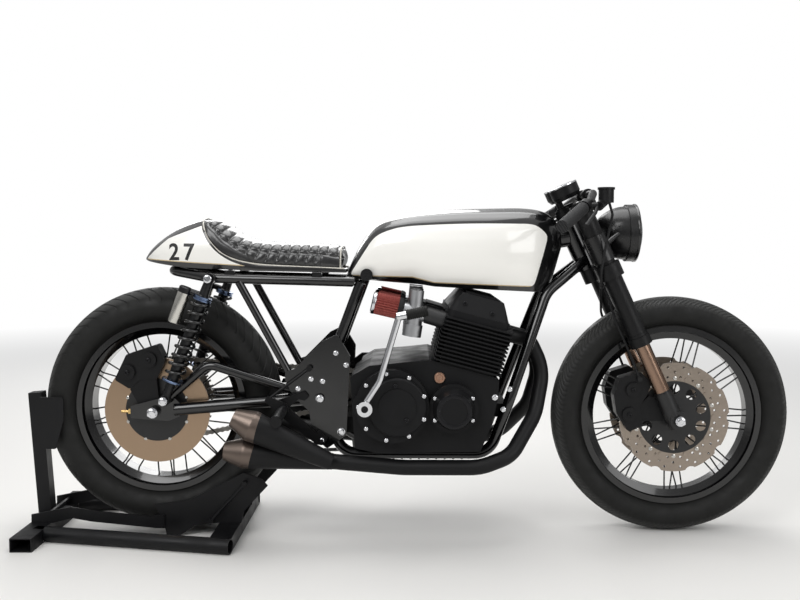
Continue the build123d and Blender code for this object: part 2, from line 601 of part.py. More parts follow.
# Braced swingarm with its axle plates, and the axle that the wheel turns on
AXLE_PLATE = 12
PIVOT_TUBE = 46
EYE_WIDE = 26
with BuildPart() as swingarm:
    rod(bike(PIVOT_X, 3 - PLATE_IN, PIVOT_Z), bike(PIVOT_X, PLATE_IN - 3, PIVOT_Z), PIVOT_TUBE)
    for side in (-1, 1):
        rod(bike(PIVOT_X, side * 103, PIVOT_Z), bike(56, side * ARM_Y, 368), ARM)
        tube([bike(402, side * 112, 414), bike(150, side * 116, 494), bike(22, side * ARM_Y, 385)],
             [40], 25)
        edge = side * (ARM_Y + AXLE_PLATE / 2)
        slab([(-66, 344), (-66, 378), (10, 398), (50, 408), (72, 386), (72, 350), (40, 336)],
             edge, edge - side * AXLE_PLATE, rounding=5)
        rod(bike(SHOCK_FOOT[0], side * ARM_Y, SHOCK_FOOT[1]),
            bike(SHOCK_FOOT[0], side * (SHOCK_Y - EYE_WIDE / 2 - SEAT_GAP), SHOCK_FOOT[1]), 26)
        rod(bike(SHOCK_FOOT[0], side * ARM_Y, SHOCK_FOOT[1]),
            bike(SHOCK_FOOT[0], side * (SHOCK_Y + 22), SHOCK_FOOT[1]), FOOT_PIN)
        rod((REAR_X, edge, REAR_Z), (REAR_X, edge + side * 16, REAR_Z), 32)
    rod(bike(374, -106, 393), bike(374, 106, 393), 30)
    rod(bike(PIVOT_X, -PLATE_IN, PIVOT_Z), bike(PIVOT_X, PLATE_IN, PIVOT_Z), PIVOT_SHAFT + 2 * CLAMP_GAP,
        mode=Mode.SUBTRACT)
    rod((REAR_X, -ARM_Y - 24, REAR_Z), (REAR_X, ARM_Y + 24, REAR_Z), AXLE)
pieces["swingarm"] = swingarm

# Shocks with their springs
shock_run = Vector(SHOCK_TOP[0] - SHOCK_FOOT[0], 0, SHOCK_TOP[1] - SHOCK_FOOT[1])
SHOCK_LENGTH = shock_run.length
EYE = 30
SPRING_OUT = 56
SPRING_WIRE = 9
SPRING_LOW = 62
SPRING_HIGH = SHOCK_LENGTH - 66


def along(side, height, back=0):
    """A place up one shock from its lower eye."""
    damper = Plane(origin=bike(SHOCK_FOOT[0], side * SHOCK_Y, SHOCK_FOOT[1]), x_dir=(0, 1, 0), z_dir=shock_run)
    return tuple(damper.from_local_coords((0, -back, height)))


def stretch(side, low, high, diameter, back=0, mode=Mode.ADD):
    """A round piece along one shock, between two heights."""
    rod(along(side, low, back), along(side, high, back), diameter, mode=mode)


with BuildPart() as shocks:
    for side in (-1, 1):
        for end in (0, SHOCK_LENGTH):
            place = Vector(*along(side, end))
            across = Vector(0, EYE_WIDE / 2, 0)
            rod(tuple(place - across), tuple(place + across), EYE)
        stretch(side, 8, SPRING_LOW - 8, 24)
        stretch(side, SPRING_LOW - 8, SPRING_LOW - 1, SPRING_OUT + 2)
        stretch(side, SPRING_LOW - 8, SPRING_HIGH + 8, 30)
        stretch(side, SPRING_HIGH + 1, SPRING_HIGH + 30, SPRING_OUT - 4)
        stretch(side, SPRING_HIGH + 30, SHOCK_LENGTH - 8, 24)
        stretch(side, SHOCK_LENGTH - 148, SHOCK_LENGTH - 44, 36, back=52)
        rod(along(side, SHOCK_LENGTH - 52), along(side, SHOCK_LENGTH - 52, 52), 20)
        for end, pin in ((0, FOOT_PIN), (SHOCK_LENGTH, TOP_PIN)):
            place = Vector(*along(side, end))
            across = Vector(0, EYE_WIDE, 0)
            rod(tuple(place - across), tuple(place + across), pin + 2 * CLAMP_GAP, mode=Mode.SUBTRACT)
pieces["shocks"] = shocks

COILS = 9
COIL_R = (SPRING_OUT - SPRING_WIRE) / 2
COIL_LOW = SPRING_LOW - 1 + SPRING_WIRE / 2 + SEAT_GAP
COIL_HIGH = SPRING_HIGH + 1 - SPRING_WIRE / 2 - SEAT_GAP
with BuildPart() as springs:
    for side in (-1, 1):
        with BuildLine() as coil:
            Helix(pitch=(COIL_HIGH - COIL_LOW) / COILS, height=COIL_HIGH - COIL_LOW, radius=COIL_R,
                  center=along(side, COIL_LOW), direction=shock_run)
        with BuildSketch(Plane(origin=coil.line @ 0, z_dir=coil.line % 0)) as wire:
            Circle(SPRING_WIRE / 2)
        sweep(wire.sketch, path=coil.line, is_frenet=True)
pieces["springs"] = springs

# Rear brake caliper over the disc's upper rear edge
with BuildPart() as rear_caliper:
    slab([(-112, 450), (-78, 520), (8, 548), (30, 500), (6, 452), (-40, 450), (-70, 424)],
         -REAR_DISC_Y + 24, -REAR_DISC_Y - 26, rounding=8)
    for x, z in ((-74, 472), (-14, 506)):
        rod(bike(x, -REAR_DISC_Y - 20, z), bike(x, -REAR_DISC_Y - 34, z), 42)
    slab([(-70, 424), (-40, 460), (4, 460), (12, 380), (-40, 368)],
         -REAR_DISC_Y - DISC_THICK - BRAKE_GAP, -ARM_Y + AXLE_PLATE / 2 + SEAT_GAP, rounding=5)
    rod((REAR_X, -REAR_DISC_Y - DISC_THICK / 2 - BRAKE_GAP, REAR_Z), (REAR_X, -REAR_DISC_Y + DISC_THICK / 2 + BRAKE_GAP, REAR_Z),
        2 * (REAR_DISC_R + BRAKE_GAP), mode=Mode.SUBTRACT)
    rod((REAR_X, -REAR_DISC_Y - DISC_THICK - BRAKE_GAP, REAR_Z), (REAR_X, 0, REAR_Z),
        2 * DISC_INNER + 24, mode=Mode.SUBTRACT)
pieces["rear_caliper"] = rear_caliper

# Front brake calipers behind the fork legs, as distances from the front axle
CALIPER = [(-159, 114), (-103, 132), (-69, 102), (-83, 66), (-103, 34), (-93, -20), (-133, -38), (-167, 14),
           (-175, 66)]
CALIPER_LUG = [(-103, 34), (-75, 64), (-35, 42), (-35, -8), (-99, -8)]
CALIPER_BORES = [(-122, 82), (-132, 12)]


def from_front_axle(outline):
    """Places seen from the side, from their distances ahead of the front axle and above it."""
    return [(WHEELBASE + x, FRONT_Z + z) for x, z in outline]


with BuildPart() as front_calipers:
    for side, y in mirrored(FRONT_DISC_Y):
        slab(from_front_axle(CALIPER), y + side * CALIPER_OUT, y - side * 20, rounding=9)
        slab(from_front_axle(CALIPER_LUG), y + side * 16, y + side * 10)
        for x, z in from_front_axle(CALIPER_BORES):
            rod(bike(x, y + side * 20, z), bike(x, y + side * (CALIPER_OUT + 7), z), 40)
    for side, y in mirrored(FRONT_DISC_Y):
        rod((FRONT_X, y - DISC_THICK / 2 - BRAKE_GAP, FRONT_Z), (FRONT_X, y + DISC_THICK / 2 + BRAKE_GAP, FRONT_Z),
            2 * (FRONT_DISC_R + BRAKE_GAP), mode=Mode.SUBTRACT)
        for low, high, size in ((-30, LEG_FOOT, STANCHION + 5), (LEG_FOOT, 200, STANCHION)):
            rod(fork(FORK_OFFSET, side * LEG_Y, low), fork(FORK_OFFSET, side * LEG_Y, high),
                size + 2 * SEAT_GAP, mode=Mode.SUBTRACT)
        rod((FRONT_X, side * 40, FRONT_Z), (FRONT_X, side * 140, FRONT_Z), FOOT + 2 * SEAT_GAP,
            mode=Mode.SUBTRACT)
pieces["front_calipers"] = front_calipers

# The cylinders stand on the crankcase's deck, a plane that leans forward
lean = math.radians(LEAN)
DECK = (862, 489)
CYL = Plane(origin=bike(DECK[0], 0, DECK[1]), x_dir=(math.cos(lean), 0, -math.sin(lean)),
            z_dir=(math.sin(lean), 0, math.cos(lean)))


def deck(x):
    """A place on the deck as seen from the side."""
    return (x, DECK[1] - (x - DECK[0]) * math.tan(lean))


# Engine: crankcase with the sump between the lower rails and the mounting lugs between the tubes
LUG_Y = CRADLE_Y - RAIL / 2 - SEAT_GAP
SPROCKET_BAY = 70
with BuildPart() as crankcase:
    slab([(560, 275), (548, 470), (600, 500), deck(762), deck(950), (946, 410), (930, 340), (900, 266),
          (620, 262)], -CASE_HALF, CASE_HALF, rounding=10)
    slab([(640, 230), (624, 300), (890, 300), (868, 230)], -LUG_Y + 4, LUG_Y - 4, rounding=8)
    for x in range(660, 860, 24):
        slab([(x, 222), (x, 240), (x + 6, 240), (x + 6, 222)], -LUG_Y + 10, LUG_Y - 10)
    slab([(915, 345), (925, 382), (984, 382), (970, 345)], -LUG_Y, LUG_Y, rounding=6)
    slab([(500, 300), (500, 345), (600, 345), (600, 300)], -LUG_Y, LUG_Y, rounding=6)
    slab([(480, 322), (480, 480), (DRIVE_X + 62, 480), (DRIVE_X + 62, 322)], SPROCKET_BAY, CASE_HALF + 1,
         mode=Mode.SUBTRACT)
pieces["crankcase"] = crankcase

# Cylinder block and head
def finned(base, fins):
    """A core with a stack of cooling fins, each fin at the top of its pitch."""
    with BuildSketch(CYL.offset(base)) as core:
        Rectangle(FIN_LENGTH - 36, 2 * FIN_HALF - 36)
    extrude(core.sketch, amount=fins * FIN_PITCH)
    for i in range(fins):
        with BuildSketch(CYL.offset(base + (i + 1) * FIN_PITCH - FIN_THICK)) as fin:
            RectangleRounded(FIN_LENGTH, 2 * FIN_HALF, 8)
        extrude(fin.sketch, amount=FIN_THICK)


with BuildPart() as cylinders:
    finned(SEAT_GAP, BLOCK_FINS)
pieces["cylinders"] = cylinders

HEAD_BASE = BLOCK_FINS * FIN_PITCH + 2 * SEAT_GAP
HEAD_JOINT = HEAD_BASE + HEAD_FINS * FIN_PITCH
PORT_UP = HEAD_BASE + 26
COVER_SKIRT = 20
COVER_DOME = 50
COVER_RIBS = (-150, -110, -70, -30, 30, 70, 110, 150)
PORT = 50
CYL_Y = (-165, -55, 55, 165)
with BuildPart() as cylinder_head:
    finned(HEAD_BASE, HEAD_FINS)
    with BuildSketch(CYL.offset(HEAD_JOINT)) as cover:
        with Locations((-5, 0)):
            RectangleRounded(FIN_LENGTH - 12, 2 * FIN_HALF - 30, 22)
    extrude(cover.sketch, amount=COVER_SKIRT)
    with BuildSketch(CYL.offset(HEAD_JOINT + COVER_SKIRT)) as dome:
        with Locations((-5, 0)):
            RectangleRounded(FIN_LENGTH - 18, 2 * FIN_HALF - 36, 20)
    extrude(dome.sketch, amount=COVER_DOME, taper=28)
    for y in COVER_RIBS:
        with BuildSketch(Plane(origin=CYL.from_local_coords((-5, y, HEAD_JOINT)), x_dir=CYL.x_dir,
                               z_dir=(0, 1, 0))) as rib:
            with BuildLine():
                Polyline((-70, 0), (70, 0), (46, -COVER_SKIRT - COVER_DOME - 5), (-46, -COVER_SKIRT - COVER_DOME - 5),
                         close=True)
            make_face()
        extrude(rib.sketch, amount=3, both=True)
    for y in CYL_Y:
        for end in (-1, 1):
            rod(tuple(CYL.from_local_coords((end * 60, y, PORT_UP))),
                tuple(CYL.from_local_coords((end * FIN_LENGTH / 2, y, PORT_UP))), PORT)
pieces["cylinder_head"] = cylinder_head

COVER_FACE = CASE_HALF + SEAT_GAP
COVER_BOLTS = 9
with BuildPart() as clutch_cover:
    with BuildSketch(side_plane(-COVER_FACE)) as outline:
        with Locations((662, 396)):
            Circle(98)
        with Locations((590, 398)):
            Circle(34)
    extrude(outline.sketch, amount=42)
    with BuildSketch(side_plane(-COVER_FACE - 42)) as raised:
        with Locations((676, 396)):
            Circle(78)
    extrude(raised.sketch, amount=COVER_OUT - COVER_FACE - 42 - 12)
    fillet(clutch_cover.faces().sort_by(Axis.Y)[0].edges(), 7)
    with BuildSketch(side_plane(-COVER_OUT + 12.5)) as plate:
        with Locations((676, 396)):
            Circle(50)
    extrude(plate.sketch, amount=3.5)
    for angle in range(COVER_BOLTS):
        turn = math.radians(360 * (angle + 0.5) / COVER_BOLTS)
        x, z = 662 + 90 * math.cos(turn), 396 + 90 * math.sin(turn)
        rod(bike(x, -COVER_FACE, z), bike(x, -COVER_FACE - 44, z), 17)
    rod(bike(592, -COVER_FACE - 40, 400), bike(592, -COVER_FACE - 88, 400), 18)
pieces["clutch_cover"] = clutch_cover

with BuildPart() as points_cover:
    with BuildSketch(side_plane(-COVER_FACE)) as outline:
        with Locations((826, 388)):
            Circle(66)
    extrude(outline.sketch, amount=30)
    with BuildSketch(side_plane(-COVER_FACE - 30)) as raised:
        with Locations((826, 388)):
            Circle(56)
    extrude(raised.sketch, amount=COVER_OUT - COVER_FACE - 30, taper=18)
    with BuildSketch(side_plane(-COVER_OUT + 0.01)) as dish:
        with Locations((826, 388)):
            Circle(30)
    extrude(dish.sketch, amount=-3, mode=Mode.SUBTRACT)
    for x, z in ((-58, 34), (-58, -34), (58, 34), (58, -34)):
        rod(bike(826 + x * 0.87, -COVER_FACE, 388 + z * 0.87), bike(826 + x * 0.87, -COVER_FACE - 32, 388 + z * 0.87), 15)
pieces["points_cover"] = points_cover

with BuildPart() as alternator_cover:
    with BuildSketch(side_plane(COVER_FACE)) as outline:
        with Locations((826, 388)):
            Circle(84)
    extrude(outline.sketch, amount=-44)
    with BuildSketch(side_plane(COVER_FACE + 44)) as raised:
        with Locations((826, 388)):
            Circle(70)
    extrude(raised.sketch, amount=-22)
    fillet(alternator_cover.faces().sort_by(Axis.Y)[-1].edges(), 8)
pieces["alternator_cover"] = alternator_cover

# Final drive: the drive sprocket on its shaft, which fills the space between the chain's plates, the chain, and the
# cover over the sprocket
LINK_PLATE = 3
DRIVE_THICK = CHAIN_WIDTH - 2 * (LINK_PLATE + SEAT_GAP)
with BuildPart() as drive_sprocket:
    rod(bike(DRIVE_X, SPROCKET_BAY + SEAT_GAP, DRIVE_Z), bike(DRIVE_X, CHAIN_Y + CHAIN_WIDTH / 2, DRIVE_Z), 34)
    with BuildSketch(Plane(origin=bike(DRIVE_X, CHAIN_Y - DRIVE_THICK / 2, DRIVE_Z), x_dir=(1, 0, 0),
                           z_dir=(0, 1, 0))) as web:
        add(toothed(Plane.XY, DRIVE_PITCH_R, DRIVE_TEETH))
    extrude(web.sketch, amount=DRIVE_THICK)
pieces["drive_sprocket"] = drive_sprocket


def chain_loop(further):
    """The outline round both sprockets, some way outside the rollers' own line, as seen from the side."""
    with BuildSketch() as loop:
        with Locations((0, REAR_Z)):
            Circle(REAR_PITCH_R + further)
        with Locations((DRIVE_X, DRIVE_Z)):
            Circle(DRIVE_PITCH_R + further)
        make_hull()
    return loop.sketch


# Each link's side plate narrows between its pins, and rollers cross the two straight runs
LINK_WAIST = 2
NOTCH_R = 9
CHAIN_OUT = CHAIN_Y + CHAIN_WIDTH / 2
pitch_line = chain_loop(0).face().outer_wire()
LINKS = 2 * round(pitch_line.length / CHAIN_PITCH / 2)
pins = [pitch_line @ (i / LINKS) for i in range(LINKS)]
notches = []
for i in range(LINKS):
    middle, out = pitch_line @ ((i + 0.5) / LINKS), (pitch_line % ((i + 0.5) / LINKS)).rotate(Axis.Z, 90)
    reach = CHAIN_HEIGHT / 2 + NOTCH_R - LINK_WAIST
    notches += [middle + out * reach, middle - out * reach]
free_pins = [pin for pin in pins
             if (pin - Vector(0, REAR_Z)).length > REAR_PITCH_R + TOOTH + ROLLER_R + 2
             and (pin - Vector(DRIVE_X, DRIVE_Z)).length > DRIVE_PITCH_R + TOOTH + ROLLER_R + 1]
with BuildPart() as chain:
    for face in (CHAIN_OUT, CHAIN_OUT - CHAIN_WIDTH + LINK_PLATE):
        with BuildSketch(side_plane(face)) as plates:
            add(chain_loop(CHAIN_HEIGHT / 2))
            add(chain_loop(-CHAIN_HEIGHT / 2), mode=Mode.SUBTRACT)
            with Locations(*notches):
                Circle(NOTCH_R, mode=Mode.SUBTRACT)
        extrude(plates.sketch, amount=LINK_PLATE)
    with BuildSketch(side_plane(CHAIN_OUT)) as rollers:
        with Locations(*free_pins):
            Circle(ROLLER_R)
    extrude(rollers.sketch, amount=CHAIN_WIDTH)
pieces["chain"] = chain

with BuildPart() as sprocket_cover:
    slab([(560, 318), (540, 340), (536, 470), (560, 488), (622, 488), (640, 460), (640, 330), (622, 318)],
         COVER_FACE, COVER_FACE + 16, rounding=10)
pieces["sprocket_cover"] = sprocket_cover

# Carburettors in a row, each with its own filter, and the rubber pipes to the head
HEAD_BACK = Plane(origin=CYL.from_local_coords((-FIN_LENGTH / 2 - SEAT_GAP, 0, 0)), z_dir=-CYL.x_dir)
CARB_BACK = Vector(*bike(692, 0, 650))
CARB_RUN = (Vector(*bike(752, 0, 636)) - CARB_BACK).normalized()


def intake(along, y):
    """A place on one cylinder's intake line, some way ahead of the carburettor's mouth."""
    place = CARB_BACK + CARB_RUN * along
    return (place.X, y, place.Z)


with BuildPart() as carburettors:
    for y in CYL_Y:
        rod(intake(0, y), intake(62, y), 42)
        rod(bike(718, y, 604), bike(728, y, 702), 40)
        rod(bike(713, y, 578), bike(718, y, 610), 52)
        rod(bike(752, y, 636), tuple(CYL.from_local_coords((20 - FIN_LENGTH / 2, y, PORT_UP))), 46)
    rod(bike(722, CYL_Y[0], 640), bike(722, CYL_Y[-1], 640), 14)
    split(bisect_by=HEAD_BACK, keep=Keep.TOP)
pieces["carburettors"] = carburettors

with BuildPart() as air_filters:
    for y in CYL_Y:
        rod(intake(-88, y), intake(-SEAT_GAP, y), 62)
pieces["air_filters"] = air_filters

# Exhaust: two pipes and two short tapered mufflers to a side
OUTER_PIPE_Y = 228
INNER_PIPE_Y = 186


def port(out, y):
    """A place on the line straight out of the head, some way beyond its front face."""
    return tuple(CYL.from_local_coords((FIN_LENGTH / 2 + out, y, PORT_UP)))


for name, side in (("right", -1), ("left", 1)):
    with BuildPart() as exhaust:
        tube([port(-20, side * 165), port(60, side * 185), bike(1072, side * 214, 450),
              bike(1040, side * OUTER_PIPE_Y, 340), bike(960, side * OUTER_PIPE_Y, 222),
              bike(690, side * OUTER_PIPE_Y, 222), bike(500, side * OUTER_PIPE_Y, 246)],
             [45, 160, 120, 75, 300], PIPE)
        tube([port(-20, side * 55), port(70, side * 40), bike(1088, side * 40, 470),
              bike(1060, side * 84, 350), bike(985, side * 168, 250), bike(900, side * INNER_PIPE_Y, 222),
              bike(690, side * INNER_PIPE_Y, 222), bike(500, side * INNER_PIPE_Y, 238)],
             [40, 120, 120, 90, 150, 400], PIPE)
        for y, front, back in ((OUTER_PIPE_Y, (500, 246), (238, 366)), (INNER_PIPE_Y, (500, 238), (206, 266))):
            run = Vector(back[0] - front[0], 0, back[1] - front[1])
            cone = Plane(origin=bike(front[0], side * y, front[1]), x_dir=(0, 1, 0), z_dir=run)
            length = run.length
            with BuildSketch(Plane(origin=cone.origin, x_dir=cone.z_dir, z_dir=(0, -1, 0))) as half_section:
                with BuildLine():
                    Polyline((0, 0), (0, PIPE / 2 + 1), (length - 58, MUFFLER / 2), (length - 52, MUFFLER / 2),
                             (length, MUFFLER_END / 2), (length, MUFFLER_END / 2 - 6),
                             (length - 40, MUFFLER_END / 2 - 6), (length - 40, 0), close=True)
                make_face()
            revolve(half_section.sketch, axis=Axis(tuple(cone.origin), tuple(cone.z_dir)))
        with BuildSketch(CYL.offset(HEAD_BASE - 30)) as head_room:
            Rectangle(FIN_LENGTH + 2 * SEAT_GAP, 2 * FIN_HALF + 2 * SEAT_GAP)
        extrude(head_room.sketch, amount=120, mode=Mode.SUBTRACT)
    pieces[f"exhaust_{name}"] = exhaust

# A shell's half section: shares of its half width and of its height, and the rounding at each as a share of its size
TANK_FORM = [(0.84, 0, 0), (1, 0.42, 0.28), (0.9, 0.8, 0.22), (0.5, 1, 0.24)]
COWL_FORM = [(0.94, 0, 0), (1, 0.4, 0.2), (0.84, 0.78, 0.2), (0.42, 1, 0.24)]


def shell(form, sections):
    """A body lofted along the motorcycle, each section as its place, half width, foot height and crown height."""
    faces = []
    for x, half, foot, crown in sections:
        height = crown - foot
        size = min(height, 1.4 * half)
        with BuildSketch(Plane(origin=bike(x, 0, 0), x_dir=(0, 1, 0), z_dir=(1, 0, 0))) as section:
            right = [(half * out, foot + height * up) for out, up, rounding in form]
            with BuildLine():
                FilletPolyline(*(right + [(-y, z) for y, z in reversed(right)]),
                               radius=[size * r for _, _, r in form[1:] + form[:0:-1]])
                Line((-right[0][0], right[0][1]), right[0])
            make_face()
        faces.append(section.sketch.face())
    loft(faces)


# Fuel tank over the backbone, from its tail to the nose behind the steering head
CLAMP_SWEEP = 44
TANK_TAIL = 533
TANK_NOSE = WHEELBASE - 319
TANK_SECTIONS = [  # share of the length, share of the half width, foot, crown
    (0, 0.6, 728, 744),
    (0.04, 0.71, 727, 799),
    (0.105, 0.82, 726, 864),
    (0.2, 0.92, 724, 902),
    (0.4, 1, 706, 922),
    (0.66, 0.97, 697, 928),
    (0.86, 0.77, 691, 923),
    (0.955, 0.49, 689, 907),
    (1, 0.3, 688, 868),
]
with BuildPart() as fuel_tank:
    tank_length = TANK_NOSE - TANK_TAIL
    shell(TANK_FORM, [(TANK_TAIL + share * tank_length, half * TANK_HALF, foot, crown)
                      for share, half, foot, crown in TANK_SECTIONS])
    slab([(TANK_NOSE + 1, 800), (TANK_NOSE - 32, 680), (TANK_NOSE + 60, 680), (TANK_NOSE + 60, 800)],
         -TANK_HALF, TANK_HALF, mode=Mode.SUBTRACT)
    slab([(520, 722), (712, 727), (769, 706), (940, 698), (940, 660), (520, 660)], -TANK_HALF - 1, TANK_HALF + 1,
         mode=Mode.SUBTRACT)
    rod(tuple(spine_high), tuple(spine_low), 2 * TANK_TUNNEL, mode=Mode.SUBTRACT)
    rod(fork(0, 0, HEAD_HIGH - 80), fork(0, 0, HEAD_HIGH - 9), HEAD_TUBE + 16, mode=Mode.SUBTRACT)
    rod(fork(0, 0, HEAD_HIGH - 10), fork(0, 0, HEAD_HIGH + 60), 2 * CLAMP_SWEEP, mode=Mode.SUBTRACT)
    rod(bike(CROSS[0], -200, CROSS[1]), bike(CROSS[0], 200, CROSS[1]), RAIL + 14, mode=Mode.SUBTRACT)
    with BuildSketch(side_plane(-TANK_TUNNEL)) as under:
        with BuildLine():
            Polyline((500, 600), (500, 756), (600, 756), (1200, 830), (1200, 600), close=True)
        make_face()
    extrude(under.sketch, amount=-2 * TANK_TUNNEL, mode=Mode.SUBTRACT)
    for side in (-1, 1):
        tube(downtube(side), [90], RAIL + 12, mode=Mode.SUBTRACT)
        rod(bike(500, side * CRADLE_Y, 724), bike(600, side * CRADLE_Y, 720), SEAT_RAIL + 6, mode=Mode.SUBTRACT)
pieces["fuel_tank"] = fuel_tank

# Seat pad and the tail cowl that carries it
SEAT_LINE = [(132, 892), (150, 842), (182, 805), (220, 784), (284, 769), (532, 758)]
SEAT_TOP = [(532, 815), (460, 826), (319, 830), (263, 838), (225, 855), (187, 888), (155, 900), (136, 896)]
with BuildPart() as seat_pad:
    slab([(x + 0.3, z + 0.2) for x, z in SEAT_LINE] + SEAT_TOP, -SEAT_HALF, SEAT_HALF)
pieces["seat_pad"] = seat_pad

COWL_FOOT = [(532, 747), (284, 752), (110, 760), (100, 760)]
COWL_SECTIONS = [  # place, share of the half width, foot, crown
    (-42, 0.25, 781, 791),
    (-26, 0.46, 777, 811),
    (4, 0.68, 772, 837),
    (48, 0.87, 766, 866),
    (100, 0.98, 761, 889),
    (152, 1, 758, 902),
    (230, 1, 754, 902),
]
with BuildPart() as tail_cowl:
    shell(COWL_FORM, [(x, half * COWL_HALF, foot, crown) for x, half, foot, crown in COWL_SECTIONS])
    with BuildSketch(Plane.XY.offset(700)) as plan:
        with BuildLine():
            Polyline((REAR_X + 532, 98), (REAR_X + 400, COWL_HALF), (REAR_X + 200, COWL_HALF),
                     (REAR_X + 200, -COWL_HALF), (REAR_X + 400, -COWL_HALF), (REAR_X + 532, -98), close=True)
        make_face()
    extrude(plan.sketch, amount=85)
    slab(COWL_FOOT[:2] + [(190, 755), (190, 690), (540, 690), (540, 747)], -COWL_HALF - 1, COWL_HALF + 1,
         mode=Mode.SUBTRACT)
    slab(SEAT_LINE + [(600, 757), (600, 960), (131, 960)], -COWL_HALF - 1, COWL_HALF + 1, mode=Mode.SUBTRACT)
pieces["tail_cowl"] = tail_cowl

# Footrests with their brackets, and the kick lever
PLATE_FACE = PLATE_IN + PLATE_THICK + SEAT_GAP
BRACKET = 10
PEG = (364, 377)
PEDAL_END = (322, 404)
ROD_END = (434, 487)
with BuildPart() as rearsets:
    for side, face in mirrored(PLATE_FACE):
        outer = face + side * BRACKET
        slab([(344, 362), (338, 384), (352, 400), (420, 424), (434, 408), (388, 374), (484, 294), (470, 274),
              (452, 276)], outer, face, rounding=6)
        slab([(376, 378), (404, 402), (420, 398), (404, 376), (462, 318), (452, 308)], outer, face,
             mode=Mode.SUBTRACT)
        rod(bike(PEG[0], face, PEG[1]), bike(PEG[0], side * 212, PEG[1]), 22)
        rod(bike(PEG[0], side * 206, PEG[1]), bike(PEG[0] + 2, side * 318, PEG[1] - 3), 27)
        rod(bike(PEG[0] + 2, side * 318, PEG[1] - 3), bike(PEG[0] + 2, side * 330, PEG[1] - 3), 31)
        lever = outer + side * 12
        slab([(PEG[0] + 14, PEG[1] - 8), (PEG[0] - 10, PEG[1] - 16), (PEDAL_END[0] - 9, PEDAL_END[1] - 4),
              (PEDAL_END[0] - 2, PEDAL_END[1] + 10), (PEG[0] + 12, PEG[1] + 14)], lever + side * 8, lever, rounding=4)
        rod(bike(PEDAL_END[0], lever + side * 4, PEDAL_END[1]), bike(ROD_END[0], face + side * 12, ROD_END[1]), 8)
        rod(bike(ROD_END[0], face, ROD_END[1]), bike(ROD_END[0], face + side * 18, ROD_END[1]), 16)
pieces["rearsets"] = rearsets

with BuildPart() as kick_lever:
    rod(bike(592, -COVER_OUT - 2, 400), bike(592, -COVER_OUT - 36, 400), 40)
    rod(bike(592, -COVER_OUT - 40, 400), bike(592, -COVER_OUT, 400), 18 + 2 * SEAT_GAP, mode=Mode.SUBTRACT)
    tube([bike(596, -COVER_OUT - 22, 418), bike(630, -COVER_OUT - 24, 470), bike(681, -COVER_OUT - 26, 642)],
         [80], 17)
    rod(bike(676, -COVER_OUT - 26, 640), bike(752, -COVER_OUT - 26, 655), 22)
pieces["kick_lever"] = kick_lever

# Instruments over the upper clamp
GAUGE_R = 41
GAUGE_HALF = 20
GAUGE_Y = 46
GAUGE_POST = 698
with BuildPart() as gauges:
    for side, y in mirrored(GAUGE_Y):
        face = Plane(origin=fork(21, y, 705), x_dir=(0, 1, 0), z_dir=(UP_X, 0, UP_Z))
        with BuildSketch(face.offset(-GAUGE_HALF)) as case:
            Circle(GAUGE_R - 7)
        extrude(case.sketch, amount=12, taper=-30)
        with BuildSketch(face.offset(12 - GAUGE_HALF)) as case:
            Circle(GAUGE_R)
        extrude(case.sketch, amount=2 * GAUGE_HALF - 16)
        with BuildSketch(face.offset(GAUGE_HALF - 4)) as rim:
            Circle(GAUGE_R)
            Circle(GAUGE_R - 4, mode=Mode.SUBTRACT)
        extrude(rim.sketch, amount=4)
    rod(fork(5, -GAUGE_Y, 692), fork(5, GAUGE_Y, 692), 16)
    rod(fork(0, 0, CLAMP_TOP + 14 + SEAT_GAP), fork(0, 0, GAUGE_POST), 20)
pieces["gauges"] = gauges

# Wheel chock: two rectangular crossbars, two round tubes, the post with its tyre guide and the cradle
REAR_BAR = (-366, -306)
FRONT_BAR = (170, 230)
BAR_HALF = 238


def crossbar(low, high, half):
    """A square-cut rectangular tube across the floor, open at both ends."""
    with BuildSketch(Plane(origin=(REAR_X, -half, 0), x_dir=(1, 0, 0), z_dir=(0, 1, 0))) as section:
        with BuildLine():
            Polyline((low, 0), (high, 0), (high, -CHOCK_BAR_Z), (low, -CHOCK_BAR_Z), close=True)
        make_face()
        with BuildLine():
            Polyline((low + CHOCK_WALL, -CHOCK_WALL), (high - CHOCK_WALL, -CHOCK_WALL),
                     (high - CHOCK_WALL, CHOCK_WALL - CHOCK_BAR_Z),
                     (low + CHOCK_WALL, CHOCK_WALL - CHOCK_BAR_Z), close=True)
        make_face(mode=Mode.SUBTRACT)
    extrude(section.sketch, amount=2 * half)


TUBE_SPLAY = (136, 246)
CHOCK_TUBE_REAR = bike(REAR_BAR[1] - 30, TUBE_SPLAY[0], CHOCK_TUBE / 2)
CHOCK_TUBE_FRONT = bike(FRONT_BAR[1], TUBE_SPLAY[1], CHOCK_TUBE / 2)


def side_tube(side, diameter, bore=0, mode=Mode.ADD):
    """One of the round tubes that run forward from the rear crossbar, splayed, past the front one's ends."""
    rear, front = CHOCK_TUBE_REAR, CHOCK_TUBE_FRONT
    rod((rear[0], side * rear[1], rear[2]), (front[0], side * front[1], front[2]), diameter, bore, mode)


with BuildPart() as chock_bars:
    crossbar(REAR_BAR[0], REAR_BAR[1], BAR_HALF)
    crossbar(FRONT_BAR[0], FRONT_BAR[1], TUBE_SPLAY[1] - CHOCK_TUBE / 2)
    for side in (-1, 1):
        side_tube(side, CHOCK_TUBE + 2 * SEAT_GAP, mode=Mode.SUBTRACT)
pieces["chock_crossbars"] = chock_bars

with BuildPart() as chock_tubes:
    for side in (-1, 1):
        side_tube(side, CHOCK_TUBE, CHOCK_TUBE - 2 * CHOCK_WALL)
    slab([(REAR_BAR[0] - 99, -1), (REAR_BAR[0] - 99, 60), (REAR_BAR[1] + SEAT_GAP, 60), (REAR_BAR[1] + SEAT_GAP, -1)],
         -400, 400, mode=Mode.SUBTRACT)
pieces["chock_tubes"] = chock_tubes

